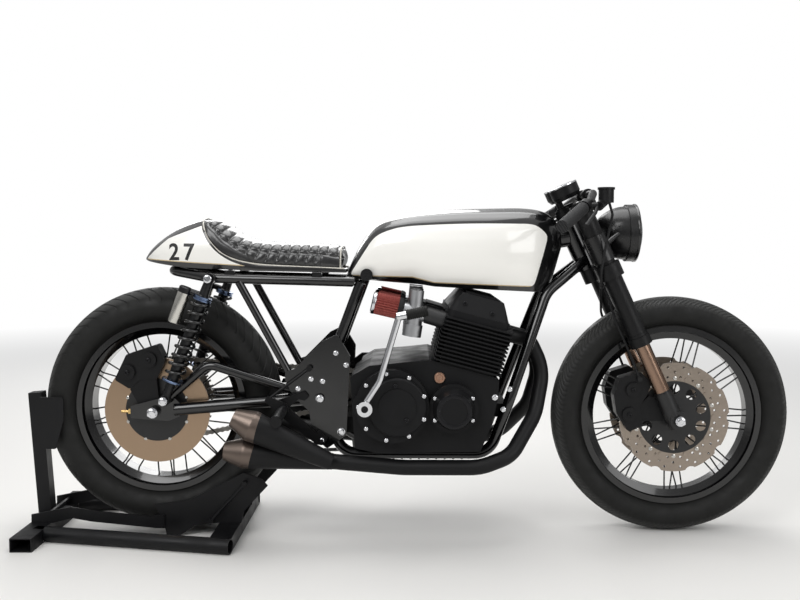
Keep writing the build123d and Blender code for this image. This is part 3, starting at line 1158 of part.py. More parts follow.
with BuildPart() as chock_post:
    slab([(REAR_BAR[0] - 4, CHOCK_BAR_Z + SEAT_GAP), (REAR_BAR[0] - 4, CHOCK_BAR_Z + 8),
          (REAR_BAR[1] + 4, CHOCK_BAR_Z + 8), (REAR_BAR[1] + 4, CHOCK_BAR_Z + SEAT_GAP)], -45, 45)
    slab([(-373, CHOCK_BAR_Z + 6), (-373 + POST, CHOCK_BAR_Z + 6), (POST - POST_REACH, POST_TOP),
          (-POST_REACH, POST_TOP - 3)], -POST / 2, POST / 2)
    for side, y in mirrored(CHEEK_Y):
        slab([(-356, 300), (-356, 372), (-332, 396), (-266, 396), (-266, 332), (-290, 248), (-332, 250)],
             y + side * 4, y, rounding=6)
    slab([(-356, 300), (-356, 372), (-350, 372), (-350, 300)], -CHEEK_Y, CHEEK_Y)
pieces["chock_post"] = chock_post

CRADLE_PLATE = 5
SADDLE_BAR = 20
LINK_ROD = 9
CRADLE_BOLT = (150, 48)
ARM_PLATE = [(-362, 38.3), (-362, 62), (-250, 84), (-190, 74), (-6, 56), (-6, 24), (-190, 42), (-246, 52), (-300, 38.3)]
with BuildPart() as chock_cradle:
    for side, y in mirrored(CHEEK_Y):
        slab([(-14, 90), (86, 104), (240, 182), (291, 165), (308, 145), (240, 72), (232, 38.3), (166, 38.3),
              (100, 30), (60, 3), (20, 3), (10, 50)], y + side * CRADLE_PLATE, y)
        slab([(-14, 62), (16, 62), (16, 24), (-14, 24)], y + side * 2 * CRADLE_PLATE, y)
        slab(ARM_PLATE, y + side * 2 * CRADLE_PLATE, y + side * CRADLE_PLATE)
    for x in (40, 228):
        z = REAR_Z - math.sqrt((REAR_TYRE_R + 2 * SEAT_GAP + SADDLE_BAR / 2) ** 2 - x ** 2)
        rod(bike(x, -CHEEK_Y, z), bike(x, CHEEK_Y, z), SADDLE_BAR)
    rod(bike(-325, -CHEEK_Y - CRADLE_PLATE, 54), bike(-325, CHEEK_Y + CRADLE_PLATE, 54), 12)
    rod(bike(CRADLE_BOLT[0], -CHEEK_Y - 26, CRADLE_BOLT[1]), bike(CRADLE_BOLT[0], CHEEK_Y + 26, CRADLE_BOLT[1]), 14)
    for side, y in mirrored(CHEEK_Y + 18):
        rod(bike(CRADLE_BOLT[0], y, CRADLE_BOLT[1]), bike(250, y, 160), LINK_ROD)
        rod(bike(244, side * CHEEK_Y, 154), bike(244, y + side * 4, 154), LINK_ROD + 3)
pieces["chock_cradle"] = chock_cradle

# Side stand folded under the left lower rail
STAND_LEG = 168
with BuildPart() as side_stand:
    near, far = STAND_Y - STAND_THICK / 2, STAND_Y + STAND_THICK / 2
    rod(bike(STAND_PIVOT[0], near, STAND_PIVOT[1]), bike(STAND_PIVOT[0], far, STAND_PIVOT[1]), STAND_EYE)
    rod(bike(STAND_PIVOT[0] - 12, STAND_Y, STAND_PIVOT[1]),
        bike(STAND_PIVOT[0] - STAND_LEG, STAND_Y, STAND_PIVOT[1] - 4), STAND_THICK - 1)
    slab([(STAND_PIVOT[0] - STAND_LEG + along, STAND_PIVOT[1] + up)
          for along, up in ((14, -16), (4, -16), (-12, 8), (-2, 12))], STAND_Y - 11, STAND_Y + 11)
    rod(bike(STAND_PIVOT[0], near - 5, STAND_PIVOT[1]), bike(STAND_PIVOT[0], far + 5, STAND_PIVOT[1]),
        STAND_PIN + 2 * AXLE_GAP, mode=Mode.SUBTRACT)
pieces["side_stand"] = side_stand

os.makedirs("parts", exist_ok=True)
for name, piece in pieces.items():
    piece.part.label = name
    export_step(piece.part, f"parts/{name}.step")
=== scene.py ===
# %% [markdown]
# # A cafe racer on its wheel chock
# The machine is already built as solid parts, each at its real size and place, and they are loaded first
# as a fixed frame. This file gives every part its finish and models what solids can't show well: the
# tyres' treads, the painted bodywork, the sewn seat, the fasteners, the air filters, the shock absorbers
# and the small trim. Everything is in metres. +X points to the front, +Z up, and the middle plane of the
# machine is Y = 0, so the right side, which faces the camera, has negative Y.

# %% Load the solid parts
import math

import bpy
from mathutils import Matrix, Vector


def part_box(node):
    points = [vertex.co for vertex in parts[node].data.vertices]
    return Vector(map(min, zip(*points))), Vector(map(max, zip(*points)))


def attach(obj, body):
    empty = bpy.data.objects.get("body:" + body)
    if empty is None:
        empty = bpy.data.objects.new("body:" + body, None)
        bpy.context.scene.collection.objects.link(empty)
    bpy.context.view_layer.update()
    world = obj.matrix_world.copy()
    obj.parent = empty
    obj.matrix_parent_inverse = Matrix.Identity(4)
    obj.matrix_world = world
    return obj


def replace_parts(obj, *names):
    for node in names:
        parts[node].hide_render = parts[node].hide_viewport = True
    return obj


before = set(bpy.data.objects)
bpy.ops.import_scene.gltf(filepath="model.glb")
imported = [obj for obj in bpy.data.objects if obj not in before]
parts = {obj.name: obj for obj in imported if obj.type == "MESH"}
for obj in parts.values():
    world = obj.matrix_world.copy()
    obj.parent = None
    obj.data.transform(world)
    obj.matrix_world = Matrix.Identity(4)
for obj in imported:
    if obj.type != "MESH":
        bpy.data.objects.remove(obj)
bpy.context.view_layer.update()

# %% [markdown]
# ## The camera
# A picture's viewpoint is found from things whose real size and place are known. Both wheels are circles
# of known size, and they give the distance, the height and the lens. The camera stands about 2.7 m to the
# right of the machine, at the height of its tank, and tips down a little.

# %% Camera at the viewpoint
SENSOR = 36.0
LENS = 42.08
CAMERA_PLACE = (0.0107, -2.6868, 0.8437)
CAMERA_TIP = 0.0665
CAMERA_TURN = 0.0109
bpy.ops.object.camera_add(location=CAMERA_PLACE, rotation=(math.pi / 2 - CAMERA_TIP, 0, CAMERA_TURN))
camera = bpy.context.object
camera.data.lens = LENS
camera.data.sensor_width = SENSOR
camera.data.clip_end = 60
bpy.context.scene.camera = camera

# %% [markdown]
# ## Places on the machine
# Sizes below are written as a mechanic would measure them, in millimetres ahead of the rear axle, to one
# side and above the floor. One small function turns such a place into Blender's metres. A tyre is round,
# so the middle of its box is its axle. What turns with the fork is placed from the steering axis, which
# leans back.

# %% Helpers for places and sizes
MM = 0.001
AHEAD, ACROSS = Vector((1, 0, 0)), Vector((0, 1, 0))


def axle_of(node):
    """The middle of a round part's box."""
    low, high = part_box(node)
    return (low + high) / 2


REAR_AXLE, FRONT_AXLE = axle_of("rear_tyre"), axle_of("front_tyre")


def at(x, y, z):
    """A place from millimetres ahead of the rear axle, to the left and above the floor."""
    return Vector((REAR_AXLE.x + x * MM, y * MM, z * MM))


RAKE = math.radians(24.5)
STEM_UP = Vector((-math.sin(RAKE), 0, math.cos(RAKE)))
STEM_AHEAD = Vector((math.cos(RAKE), 0, math.sin(RAKE)))
STEM_FOOT_X, STEM_FOOT_Z = 1416.8, 320.6


def fork_at(ahead, y, up):
    """A place on the fork: ahead of the steering axis, to the left, and along it from its foot."""
    return at(STEM_FOOT_X, y, STEM_FOOT_Z) + STEM_AHEAD * ahead * MM + STEM_UP * up * MM


print("axles:", REAR_AXLE, FRONT_AXLE)

# %% [markdown]
# ## Finishes
# Each finish starts from what the real surface is and how it was made. Colours are written as sRGB hex,
# as a paint chart has them, and one function turns them into the linear values that the shader needs.
# Patterns read Object coordinates, which are metres here, so a pattern's scale comes from its real size
# in millimetres.

# %% Colour and node helpers
def colour(hex_code):
    """A linear colour from an sRGB hex code such as 'f2efe6'."""
    def linear(part):
        share = int(part, 16) / 255
        return share / 12.92 if share <= 0.04045 else ((share + 0.055) / 1.055) ** 2.4
    return (*[linear(hex_code[i:i + 2]) for i in (0, 2, 4)], 1.0)


def per_mm(size):
    """The scale that makes a texture repeat about once in this many millimetres."""
    return 1 / (size * MM)


def add(tree, kind, values=None, links=None, **settings):
    """Adds one shader node, with its settings, its sockets' values and the links into it."""
    made = tree.nodes.new("ShaderNode" + kind)
    for name, value in settings.items():
        setattr(made, name, value)
    for socket, value in (values or {}).items():
        made.inputs[socket].default_value = value
    for socket, source in (links or {}).items():
        tree.links.new(source, made.inputs[socket])
    return made


def own_place(tree):
    """The place of each point, in metres."""
    return add(tree, "TexCoord").outputs["Object"]


def ranged(tree, value, from_low, from_high, low=0, high=1):
    """A value carried from one range into another, held at its ends."""
    return add(tree, "MapRange", {"From Min": from_low, "From Max": from_high, "To Min": low, "To Max": high},
               {"Value": value}).outputs["Result"]


def sum_of(tree, operation, first, number):
    """A sum done on a socket and a number."""
    return add(tree, "Math", {1: number}, {0: first}, operation=operation).outputs[0]


def both(tree, operation, first, second, reach=0.5):
    """A sum done on two sockets. The reach matters only where the sum is a smooth one."""
    return add(tree, "Math", {2: reach}, {0: first, 1: second}, operation=operation).outputs[0]


def vectors(tree, operation, place, other=(0, 0, 0)):
    """A sum done on a place and a fixed vector. A dot product and a length are numbers."""
    made = add(tree, "VectorMath", {1: other}, {0: place}, operation=operation)
    return made.outputs["Value" if operation in ("DOT_PRODUCT", "LENGTH") else "Vector"]


def finish(name, **values):
    """A new material with one shader, whose sockets are set from the names given, and its tree."""
    made = bpy.data.materials.new(name)
    made.use_nodes = True
    shader = made.node_tree.nodes["Principled BSDF"]
    for socket, value in values.items():
        shader.inputs[socket.replace("_", " ")].default_value = value
    return made, made.node_tree, shader


def dress(material, *names):
    """Gives whole solid parts one finish."""
    for name in names:
        if not parts[name].material_slots:
            parts[name].data.materials.append(material)
        for slot in parts[name].material_slots:
            slot.material = material


# %% [markdown]
# ### Patterns
# No real surface is perfectly flat or evenly worn. Each finish gets a faint unevenness, from orange peel
# on paint to the grain of a casting, and a roughness that drifts a little from patch to patch.

# %% Unevenness and wear
NOISE_LOW, NOISE_HIGH = 0.35, 0.65


def wavy(tree, shader, size, height, detail=1.0):
    """A gentle unevenness of this size and height in millimetres. It hands back the places that it reads."""
    place = own_place(tree)
    noise = add(tree, "TexNoise", {"Scale": per_mm(size), "Detail": detail}, {"Vector": place})
    bump = add(tree, "Bump", {"Distance": height * MM}, {"Height": noise.outputs["Fac"]})
    tree.links.new(bump.outputs["Normal"], shader.inputs["Normal"])
    return place


def streaked(tree, shader, place, size, low, high):
    """Roughness that drifts between two values in patches of this size, as handled surfaces do."""
    noise = add(tree, "TexNoise", {"Scale": per_mm(size), "Detail": 4.0}, {"Vector": place})
    rough = ranged(tree, noise.outputs["Fac"], NOISE_LOW, NOISE_HIGH, low, high)
    tree.links.new(rough, shader.inputs["Roughness"])


def ridged(tree, shader, distance, pitch, depth):
    """Fine ridges of this pitch and depth along a distance."""
    turns = sum_of(tree, "MULTIPLY", distance, math.tau / (pitch * MM))
    wave = add(tree, "Math", None, {0: turns}, operation="SINE")
    bump = add(tree, "Bump", {"Distance": depth * MM}, {"Height": wave.outputs[0]})
    tree.links.new(bump.outputs["Normal"], shader.inputs["Normal"])


def coated(name, hex_code, wave, wear=None, **values):
    """A finish of one colour: what wavy takes, and what streaked takes where wear streaks the surface."""
    made, tree, shader = finish(name, Base_Color=colour(hex_code), **values)
    place = wavy(tree, shader, *wave)
    if wear:
        streaked(tree, shader, place, *wear)
    return made


# %% Masks
MIX_LOW, MIX_HIGH, MIX_OUT = 6, 7, 2
MASK_EDGE = 0.3


def mixed_by(tree, share, low, high):
    """One colour where the share is 0 and the other where it is 1."""
    return add(tree, "Mix", {MIX_LOW: low, MIX_HIGH: high}, {0: share}, data_type="RGBA").outputs[MIX_OUT]


def past(tree, place, x, z, angle):
    """How many metres a point lies past a straight edge seen from the side, whose outward way is an angle."""
    out = Vector((math.cos(math.radians(angle)), 0, math.sin(math.radians(angle))))
    return sum_of(tree, "SUBTRACT", vectors(tree, "DOT_PRODUCT", place, out), at(x, 0, z).dot(out))


def joined(tree, edges, radius):
    """One outline from several edges, its corners rounded."""
    shape = edges[0]
    for edge in edges[1:]:
        shape = both(tree, "SMOOTH_MAX", shape, edge, radius * MM)
    return shape


def inside(tree, shape):
    """1 inside an outline and 0 outside, with an edge as sharp as masked paint."""
    return ranged(tree, shape, -MASK_EDGE * MM, MASK_EDGE * MM, 1, 0)


def round_of(tree, place, centre, stretch=(1, 0, 1)):
    """The distance of a point from an axle, seen from the side."""
    shifted = vectors(tree, "SUBTRACT", place, centre)
    return vectors(tree, "LENGTH", vectors(tree, "MULTIPLY", shifted, stretch))


def split_finish(tree, shader, share, low, high):
    """Gives two finishes to one piece: each is its colour, how metallic it is and its roughness."""
    tree.links.new(mixed_by(tree, share, colour(low[0]), colour(high[0])), shader.inputs["Base Color"])
    for socket, before, after in (("Metallic", low[1], high[1]), ("Roughness", low[2], high[2])):
        tree.links.new(ranged(tree, share, 0, 1, before, after), shader.inputs[socket])


# %% [markdown]
# ### Black paints and coatings
# The frame and rims are sprayed with black enamel and polished. The paint film flows out almost flat,
# with a faint waviness, called orange peel, a few millimetres across. Clamps, calipers and brackets are
# anodised or powder coated, which is duller than enamel and has a fine grain.

# %% Black paints and coatings
enamel = coated("gloss_black_enamel", "060607", (4, 0.02), (60, 0.14, 0.26), Coat_Weight=0.6,
                Coat_Roughness=0.05, Specular_IOR_Level=0.35)
dress(enamel, "rear_rim", "front_rim", "frame_spine", "cradle", "subframe", "pivot_plates", "swingarm",
      "side_stand", "springs")
satin = coated("satin_black_anodised", "0e0e0f", (0.9, 0.01, 3.0), (25, 0.36, 0.5), Specular_IOR_Level=0.22)
dress(satin, "triple_clamps", "handlebar", "fork_tubes", "front_calipers", "rear_caliper", "levers", "gauges",
      "rearsets")
lamp_black = coated("lamp_bowl_enamel", "0c0c0d", (3, 0.01), (40, 0.24, 0.34), Specular_IOR_Level=0.45)
dress(lamp_black, "headlight")
powder = coated("chock_powder_coat", "0b0b0d", (1.4, 0.05, 3.0), (90, 0.34, 0.6), Specular_IOR_Level=0.25)
dress(powder, "chock_crossbars", "chock_tubes", "chock_post", "chock_cradle")

# %% [markdown]
# ### Engine and exhaust
# The engine is sand or die cast alloy under satin black paint, so the grain of the casting shows through.
# The exhaust carries a flatter heat resisting paint, and the ends of its mufflers are bare and browned by
# heat.

# %% Engine and exhaust
MUFFLER_END = (309, 353, 164.6)
PIPE_EDGE = (746, 650, 0)
cast_black = coated("black_coated_casting", "121213", (1.6, 0.09, 4.0), (40, 0.46, 0.64),
                    Specular_IOR_Level=0.16)
dress(cast_black, "crankcase", "cylinders", "cylinder_head", "clutch_cover", "points_cover",
      "alternator_cover", "sprocket_cover")

heat_black, tree, shader = finish("heat_resisting_black", Specular_IOR_Level=0.22)
place = wavy(tree, shader, 1.2, 0.04, 3.0)
end_cap = ranged(tree, past(tree, place, *MUFFLER_END), 0, 0.5 * MM)
split_finish(tree, shader, end_cap, ("0f0f10", 0.0, 0.48), ("6a5f58", 0.9, 0.36))
dress(heat_black, "exhaust_right", "exhaust_left")

# %% [markdown]
# ### Bare and plated metal
# Bare metal keeps the marks of how it was made: carburettors are cast and tumbled, and plated levers are
# polished smooth. The carburettors' pipes to the engine are rubber, and one material carries both: a
# place seen from the side says which one a point belongs to.

# %% Bare and plated metal
steel = coated("oiled_chain_steel", "8d8a85", (0.8, 0.01, 2.0), (30, 0.3, 0.45), Metallic=1.0)
dress(steel, "rear_sprocket", "drive_sprocket", "chain")

alloy, tree, shader = finish("cast_alloy_and_intake_rubber")
place = wavy(tree, shader, 1.5, 0.06, 4.0)
rubber_pipe = ranged(tree, past(tree, place, *PIPE_EDGE), 0, 0.5 * MM)
split_finish(tree, shader, rubber_pipe, ("a9aaac", 1.0, 0.38), ("161617", 0.0, 0.5))
dress(alloy, "carburettors")

chrome = coated("chromium_plate", "d4d5d8", (6, 0.01), (40, 0.07, 0.17), Metallic=1.0)
dress(chrome, "kick_lever")

# %% [markdown]
# ### Brake discs and fork legs
# A disc is one piece of stainless steel riveted to a black alloy carrier. Grinding leaves fine circles on
# the steel, and heat tints the rear one bronze. The distance from the axle says whether a point is
# carrier or steel. The fork's sliding tubes have a dark bronze low-friction coating, and their feet are
# black.

# %% Brake discs and fork legs
GRINDING_PITCH, GRINDING_DEPTH = 1.2, 0.008
LEG_FOOT_TOP = 92
DISCS = [("rear_disc", REAR_AXLE, 88, "9c8670"), ("front_discs", FRONT_AXLE, 103, "978c81")]
for name, centre, carrier_r, tint in DISCS:
    disc, tree, shader = finish(name + "_ground_steel")
    distance = round_of(tree, own_place(tree), centre)
    outer = ranged(tree, distance, (carrier_r - MASK_EDGE) * MM, (carrier_r + MASK_EDGE) * MM)
    split_finish(tree, shader, outer, ("0e0e0f", 0.0, 0.4), (tint, 1.0, 0.3))
    ridged(tree, shader, distance, GRINDING_PITCH, GRINDING_DEPTH)
    dress(disc, name)

legs, tree, shader = finish("bronze_coated_stanchion")
up_leg = vectors(tree, "DOT_PRODUCT", own_place(tree), STEM_UP)
foot_top = FRONT_AXLE.dot(STEM_UP) + LEG_FOOT_TOP * MM
above_foot = ranged(tree, up_leg, foot_top - 0.5 * MM, foot_top)
split_finish(tree, shader, above_foot, ("0e0e0f", 0.0, 0.38), ("8a7262", 1.0, 0.24))
dress(legs, "fork_legs")

# %% [markdown]
# ### Rubber and glass
# Tyres and grips are moulded rubber with carbon black: never pure black, because the surface scatters
# some light. The lamp's lens is clear glass.

# %% Rubber and glass
REAR_TYRE_R, FRONT_TYRE_R = 340, 338
MOULD_GRAIN, RUBBER_WEAR = (1.2, 0.05, 4.0), (35, 0.5, 0.72)
GRIP_PITCH, GRIP_DEPTH = 4, 0.8
TREAD_GREY_FROM, TREAD_GREY_FULL = 28, 14


def tyre_rubber(name, axle, radius):
    """Black rubber that turns lighter grey near the tread, by distance from the axle."""
    made, tree, shader = finish(name, Specular_IOR_Level=0.25)
    place = wavy(tree, shader, *MOULD_GRAIN)
    streaked(tree, shader, place, *RUBBER_WEAR)
    # The tread is coloured a lighter grey than the sides, by its distance from the axle.
    tread_grey_share = ranged(tree, round_of(tree, place, axle), (radius - TREAD_GREY_FROM) * MM,
                  (radius - TREAD_GREY_FULL) * MM)
    tree.links.new(mixed_by(tree, tread_grey_share, colour("151514"), colour("363635")), shader.inputs["Base Color"])
    return made


rubber = coated("moulded_black_rubber", "151514", MOULD_GRAIN, RUBBER_WEAR, Specular_IOR_Level=0.25)
rear_rubber = tyre_rubber("rear_tyre_rubber", REAR_AXLE, REAR_TYRE_R)
front_rubber = tyre_rubber("front_tyre_rubber", FRONT_AXLE, FRONT_TYRE_R)
hose_rubber = coated("moulded_hose_rubber", "161617", MOULD_GRAIN, (35, 0.6, 0.75), Specular_IOR_Level=0.3)
dress(hose_rubber, "brake_hoses")

grip_rubber, tree, shader = finish("ribbed_grip_rubber", Base_Color=colour("232324"), Roughness=0.6,
                                   Specular_IOR_Level=0.3)
along_grip = add(tree, "SeparateXYZ", None, {0: vectors(tree, "ABSOLUTE", own_place(tree))})
ridged(tree, shader, along_grip.outputs["Y"], GRIP_PITCH, GRIP_DEPTH)
dress(grip_rubber, "grips")

glass, tree, shader = finish("pressed_lens_glass", Base_Color=colour("f4f8fa"), Transmission_Weight=1.0,
                             Roughness=0.04, IOR=1.5)
dress(glass, "headlight_lens")

# %% [markdown]
# ### Two-colour bodywork
# The tank and the tail are sprayed gloss black, masked, and sprayed white on their sides, with a fine
# cream line along the lower edge, all under one clear coat. A masked edge is a line seen from the side,
# so the pattern is drawn by distances past straight edges, joined with rounded corners. It stays sharp
# however close the view.

# %% Two-colour bodywork
LINE_FROM, LINE_FULL = -2.6, -2.2


def bodywork(name, panel_of):
    """Gloss black with a white panel and a cream line along the panel's foot."""
    paint, tree, shader = finish(name, Coat_Weight=1.0, Coat_Roughness=0.03, Specular_IOR_Level=0.4,
                                 Roughness=0.3)
    panel, foot = panel_of(tree, wavy(tree, shader, 5, 0.015))
    body = mixed_by(tree, inside(tree, panel), colour("070708"), colour("f1efe9"))
    line = both(tree, "MULTIPLY", inside(tree, panel), ranged(tree, foot, LINE_FROM * MM, LINE_FULL * MM))
    lined = add(tree, "Mix", {MIX_HIGH: colour("c9b184")}, {0: line, MIX_LOW: body}, data_type="RGBA")
    tree.links.new(lined.outputs[MIX_OUT], shader.inputs["Base Color"])
    return paint


TANK_EDGES = [(575, 792, 147), (637, 859, 113), (768, 880, 94), (950, 883, 89), (1072, 868, 50),
              (1069, 767, -16)]
TAIL_EDGES = [(-8, 807, 129), (77, 857, 110), (288, 764, 0)]
TAIL_ARC, TAIL_ARC_R = at(289, 0, 914), 151


def tank_panel(tree, place):
    """The white side of the tank: its outline and its foot."""
    low_step = both(tree, "MAXIMUM", past(tree, place, 748, 727, -104), past(tree, place, 777, 720, -92.5))
    foot = both(tree, "MINIMUM", past(tree, place, 719, 735, -91.3), low_step)
    return joined(tree, [past(tree, place, *edge) for edge in TANK_EDGES] + [foot], 22), foot


def cowl_panel(tree, place):
    """The white side of the tail, which ends in a hollow arc at the seat: its outline and its foot."""
    foot = past(tree, place, 284, 764, -93.5)
    far = round_of(tree, place, TAIL_ARC, (0.93, 0, 1))
    arc = add(tree, "Math", {0: TAIL_ARC_R * MM}, {1: far}, operation="SUBTRACT").outputs[0]
    return joined(tree, [past(tree, place, *edge) for edge in TAIL_EDGES] + [foot, arc], 3), foot


# %% [markdown]
# ## Smooth skins
# A tank, a tyre and a seat are skins that bend in two directions. Each starts as a flat grid primitive,
# and every point of the grid is then moved to the place that a formula gives for its column and row.
# Where the skin closes on itself, the doubled points are merged afterwards.

# %% Helpers for modelling
MERGE_GAP = 0.02 * MM


def primitive(operator, name, **settings):
    """A new primitive, made with everything else deselected."""
    bpy.ops.object.select_all(action="DESELECT")
    operator(**settings)
    piece = bpy.context.object
    piece.name = name
    return piece


def only(piece):
    """Selects one piece and makes it the active one, with all else deselected."""
    bpy.ops.object.select_all(action="DESELECT")
    piece.select_set(True)
    bpy.context.view_layer.objects.active = piece


def in_edit(piece, *steps):
    """Runs edit-mode steps on the whole of a piece."""
    only(piece)
    bpy.ops.object.mode_set(mode="EDIT")
    bpy.ops.mesh.select_all(action="SELECT")
    for step in steps:
        step()
    bpy.ops.object.mode_set(mode="OBJECT")


def merge():
    """Makes one point of doubled ones."""
    bpy.ops.mesh.remove_doubles(threshold=MERGE_GAP)


def outwards():
    """Turns all faces of the piece in edit mode outwards."""
    bpy.ops.mesh.select_all(action="SELECT")
    bpy.ops.mesh.normals_make_consistent(inside=False)


def fill_holes():
    """Closes the open ends of the piece in edit mode and turns its faces outwards."""
    merge()
    bpy.ops.mesh.select_all(action="DESELECT")
    bpy.ops.mesh.select_non_manifold()
    bpy.ops.mesh.fill_holes(sides=0)
    outwards()


def skin(name, columns, rows, place_of):
    """A grid whose point in each column and row is moved to its place."""
    piece = primitive(bpy.ops.mesh.primitive_grid_add, name, x_subdivisions=columns, y_subdivisions=rows,
                      size=2)
    for point in piece.data.vertices:
        point.co = place_of(round((point.co.x + 1) / 2 * columns), round((point.co.y + 1) / 2 * rows))
    return piece


def finished(piece, material, body, angle=35):
    """Shades a piece smooth up to an angle, gives it one finish and lets it ride on a body."""
    only(piece)
    bpy.ops.object.shade_smooth_by_angle(angle=math.radians(angle))
    piece.data.materials.clear()
    piece.data.materials.append(material)
    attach(piece, body)
    print(piece.name, "faces:", len(piece.data.polygons))
    return piece


def gathered(name, pieces, material, body):
    """Joins pieces into one with one finish."""
    bpy.ops.object.select_all(action="DESELECT")
    for piece in pieces:
        piece.select_set(True)
    bpy.context.view_layer.objects.active = pieces[0]
    bpy.ops.object.join()
    pieces[0].name = name
    return finished(pieces[0], material, body, 40)


def applied(piece, kind, **settings):
    """Adds a modifier and applies it."""
    only(piece)
    made = piece.modifiers.new("step", kind)
    for name, value in settings.items():
        setattr(made, name, value)
    bpy.ops.object.modifier_apply(modifier=made.name)


def cut_out(piece, tool):
    """Takes a tool's shape out of a piece, and the tool away."""
    applied(piece, "BOOLEAN", object=tool, solver="EXACT")
    bpy.data.objects.remove(tool)


def between(table, x):
    """A value read from a short table of places, straight between them."""
    for (low, before), (high, after) in zip(table, table[1:]):
        if x <= high:
            return before + (after - before) * max(0.0, x - low) / (high - low)
    return table[-1][1]


def eased(table, x):
    """A value read from a short table of places, flowing smoothly through them."""
    last = len(table) - 1
    i = max(0, min(last - 1, sum(x >= place for place, _ in table) - 1))
    (x0, y0), (x1, y1) = table[i], table[i + 1]
    before, after = table[max(0, i - 1)], table[min(last, i + 2)]
    slope0 = (y1 - before[1]) / (x1 - before[0])
    slope1 = (after[1] - y0) / (after[0] - x0)
    share, run = max(0.0, min(1.0, (x - x0) / (x1 - x0))), x1 - x0
    return ((2 * share ** 3 - 3 * share ** 2 + 1) * y0 + (share ** 3 - 2 * share ** 2 + share) * run * slope0
            + (3 * share ** 2 - 2 * share ** 3) * y1 + (share ** 3 - share ** 2) * run * slope1)


# %% [markdown]
# ## Tyres with their tread
# A tyre's section is two side arcs and a crown arc. The tread is cut into the crown: on the rear tyre as
# slanting grooves that run out to the shoulders, on the front one as blocks with a zigzag groove each
# side. The grid's columns lean with the grooves, so each groove is simply two columns whose points sit
# deeper, and its edges stay sharp.

# %% Tyres with their tread
def arc_place(start, middle, end, share):
    """A point on the arc from one point through another to a third, in the plane of the section."""
    (ax, ay), (bx, by), (cx, cy) = start, middle, end
    a, b, c = (x * x + y * y for x, y in (start, middle, end))
    doubled = 2 * (ax * (by - cy) + bx * (cy - ay) + cx * (ay - by))
    ux = (a * (by - cy) + b * (cy - ay) + c * (ay - by)) / doubled
    uy = (a * (cx - bx) + b * (ax - cx) + c * (bx - ax)) / doubled
    first, through, last = (math.atan2(y - uy, x - ux) for x, y in (start, middle, end))
    turn = (last - first) % math.tau
    if (through - first) % math.tau > turn:
        turn -= math.tau
    reach = math.hypot(ax - ux, ay - uy)
    return ux + reach * math.cos(first + share * turn), uy + reach * math.sin(first + share * turn)


TREAD_DEPTH = 3.2
SIDE_ROWS, CROWN_ROWS = 7, 30
RIM_FOOT, SEAT_IN = 10.7, 5.3
TYRE_CUT = 9
REAR_PITCHES, FRONT_PITCHES = 58, 72
REAR_TREAD = (0.0, 0.05, 0.13, 0.18, 0.5, 0.55, 0.63, 0.68)
FRONT_TREAD = (0.0, 0.08, 0.2, 0.28, 0.5, 0.58, 0.7, 0.78)


def tyre_section(radius, half, flange_r, rim_width):
    """The outside of a tyre's section from bead to bead, as places across and out."""
    seat_r, seat_y = flange_r - RIM_FOOT, rim_width / 2 - SEAT_IN
    shoulder = (0.86 * half, radius - 0.36 * half)
    side = (half, seat_r + 0.52 * (radius - seat_r))
    foot = (seat_y, flange_r + 2)
    right = [(seat_y - TYRE_CUT, seat_r), (seat_y, seat_r)]
    right += [arc_place(foot, side, shoulder, i / SIDE_ROWS) for i in range(SIDE_ROWS)]
    crown = [arc_place(shoulder, (0, radius), (-shoulder[0], shoulder[1]), i / CROWN_ROWS)
             for i in range(CROWN_ROWS + 1)]
    return right + crown + [(-y, r) for y, r in reversed(right)]


def treaded_tyre(name, axle, sizes, pitches, cuts, groove_of):
    """A tyre whose columns lean with its grooves: cuts are the columns of one pitch, as shares of it."""
    section = tyre_section(*sizes)

    def place_of(column, row):
        y, r = section[row % len(section)]
        lean, depth = groove_of(column % len(cuts), y / sizes[1], r)
        turn = math.tau * ((column // len(cuts)) + cuts[column % len(cuts)] + lean) / pitches
        r -= depth * TREAD_DEPTH
        return axle + Vector((r * math.sin(turn), y, r * math.cos(turn))) * MM

    tyre = skin(name, len(cuts) * pitches, len(section), place_of)
    in_edit(tyre, merge, outwards)
    return tyre


def rear_groove(column, across, r):
    """Long slanting grooves each side by turns, from near the middle to the shoulder."""
    lean = 2.1 * min(abs(across), 0.9) ** 1.4
    side = 1 if column < 4 else -1
    cut = column % 4 in (1, 2) and 0.10 < across * side < 0.9 and r > 300
    return lean, 1.0 if cut else 0.0


def front_groove(column, across, r):
    """Short grooves across each shoulder, joined by a zigzag groove round each side."""
    lean = 0.55 * math.sin(abs(across) * 5.2)
    cross_cut = column % 4 in (1, 2) and 0.34 < abs(across) < 0.92 and r > 306
    ring_at = 0.36 if column < 4 else 0.5
    ring_cut = abs(abs(across) - ring_at) < 0.035
    return lean, 1.0 if cross_cut or ring_cut else 0.0


rear_tyre = treaded_tyre("rear_tyre_with_tread", REAR_AXLE, (REAR_TYRE_R, 75, 243, 106), REAR_PITCHES,
                         REAR_TREAD, rear_groove)
front_tyre = treaded_tyre("front_tyre_with_tread", FRONT_AXLE, (FRONT_TYRE_R, 55, 256, 72), FRONT_PITCHES,
                          FRONT_TREAD, front_groove)
finished(rear_tyre, rear_rubber, "rear_wheel", 28)
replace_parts(rear_tyre, "rear_tyre")
finished(front_tyre, front_rubber, "front_wheel", 28)
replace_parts(front_tyre, "front_tyre")

# %% [markdown]
# ## Fuel tank
# The tank was pressed from sheet, so its sides flow without an edge anywhere. Its section is an arch that
# is widest low down. The arch's half width, its foot and its crown change along the tank, each read
# smoothly from a short table. A tunnel for the frame's top tube is then cut out underneath, as in the
# real one, and the nose is cut back round the steering head.

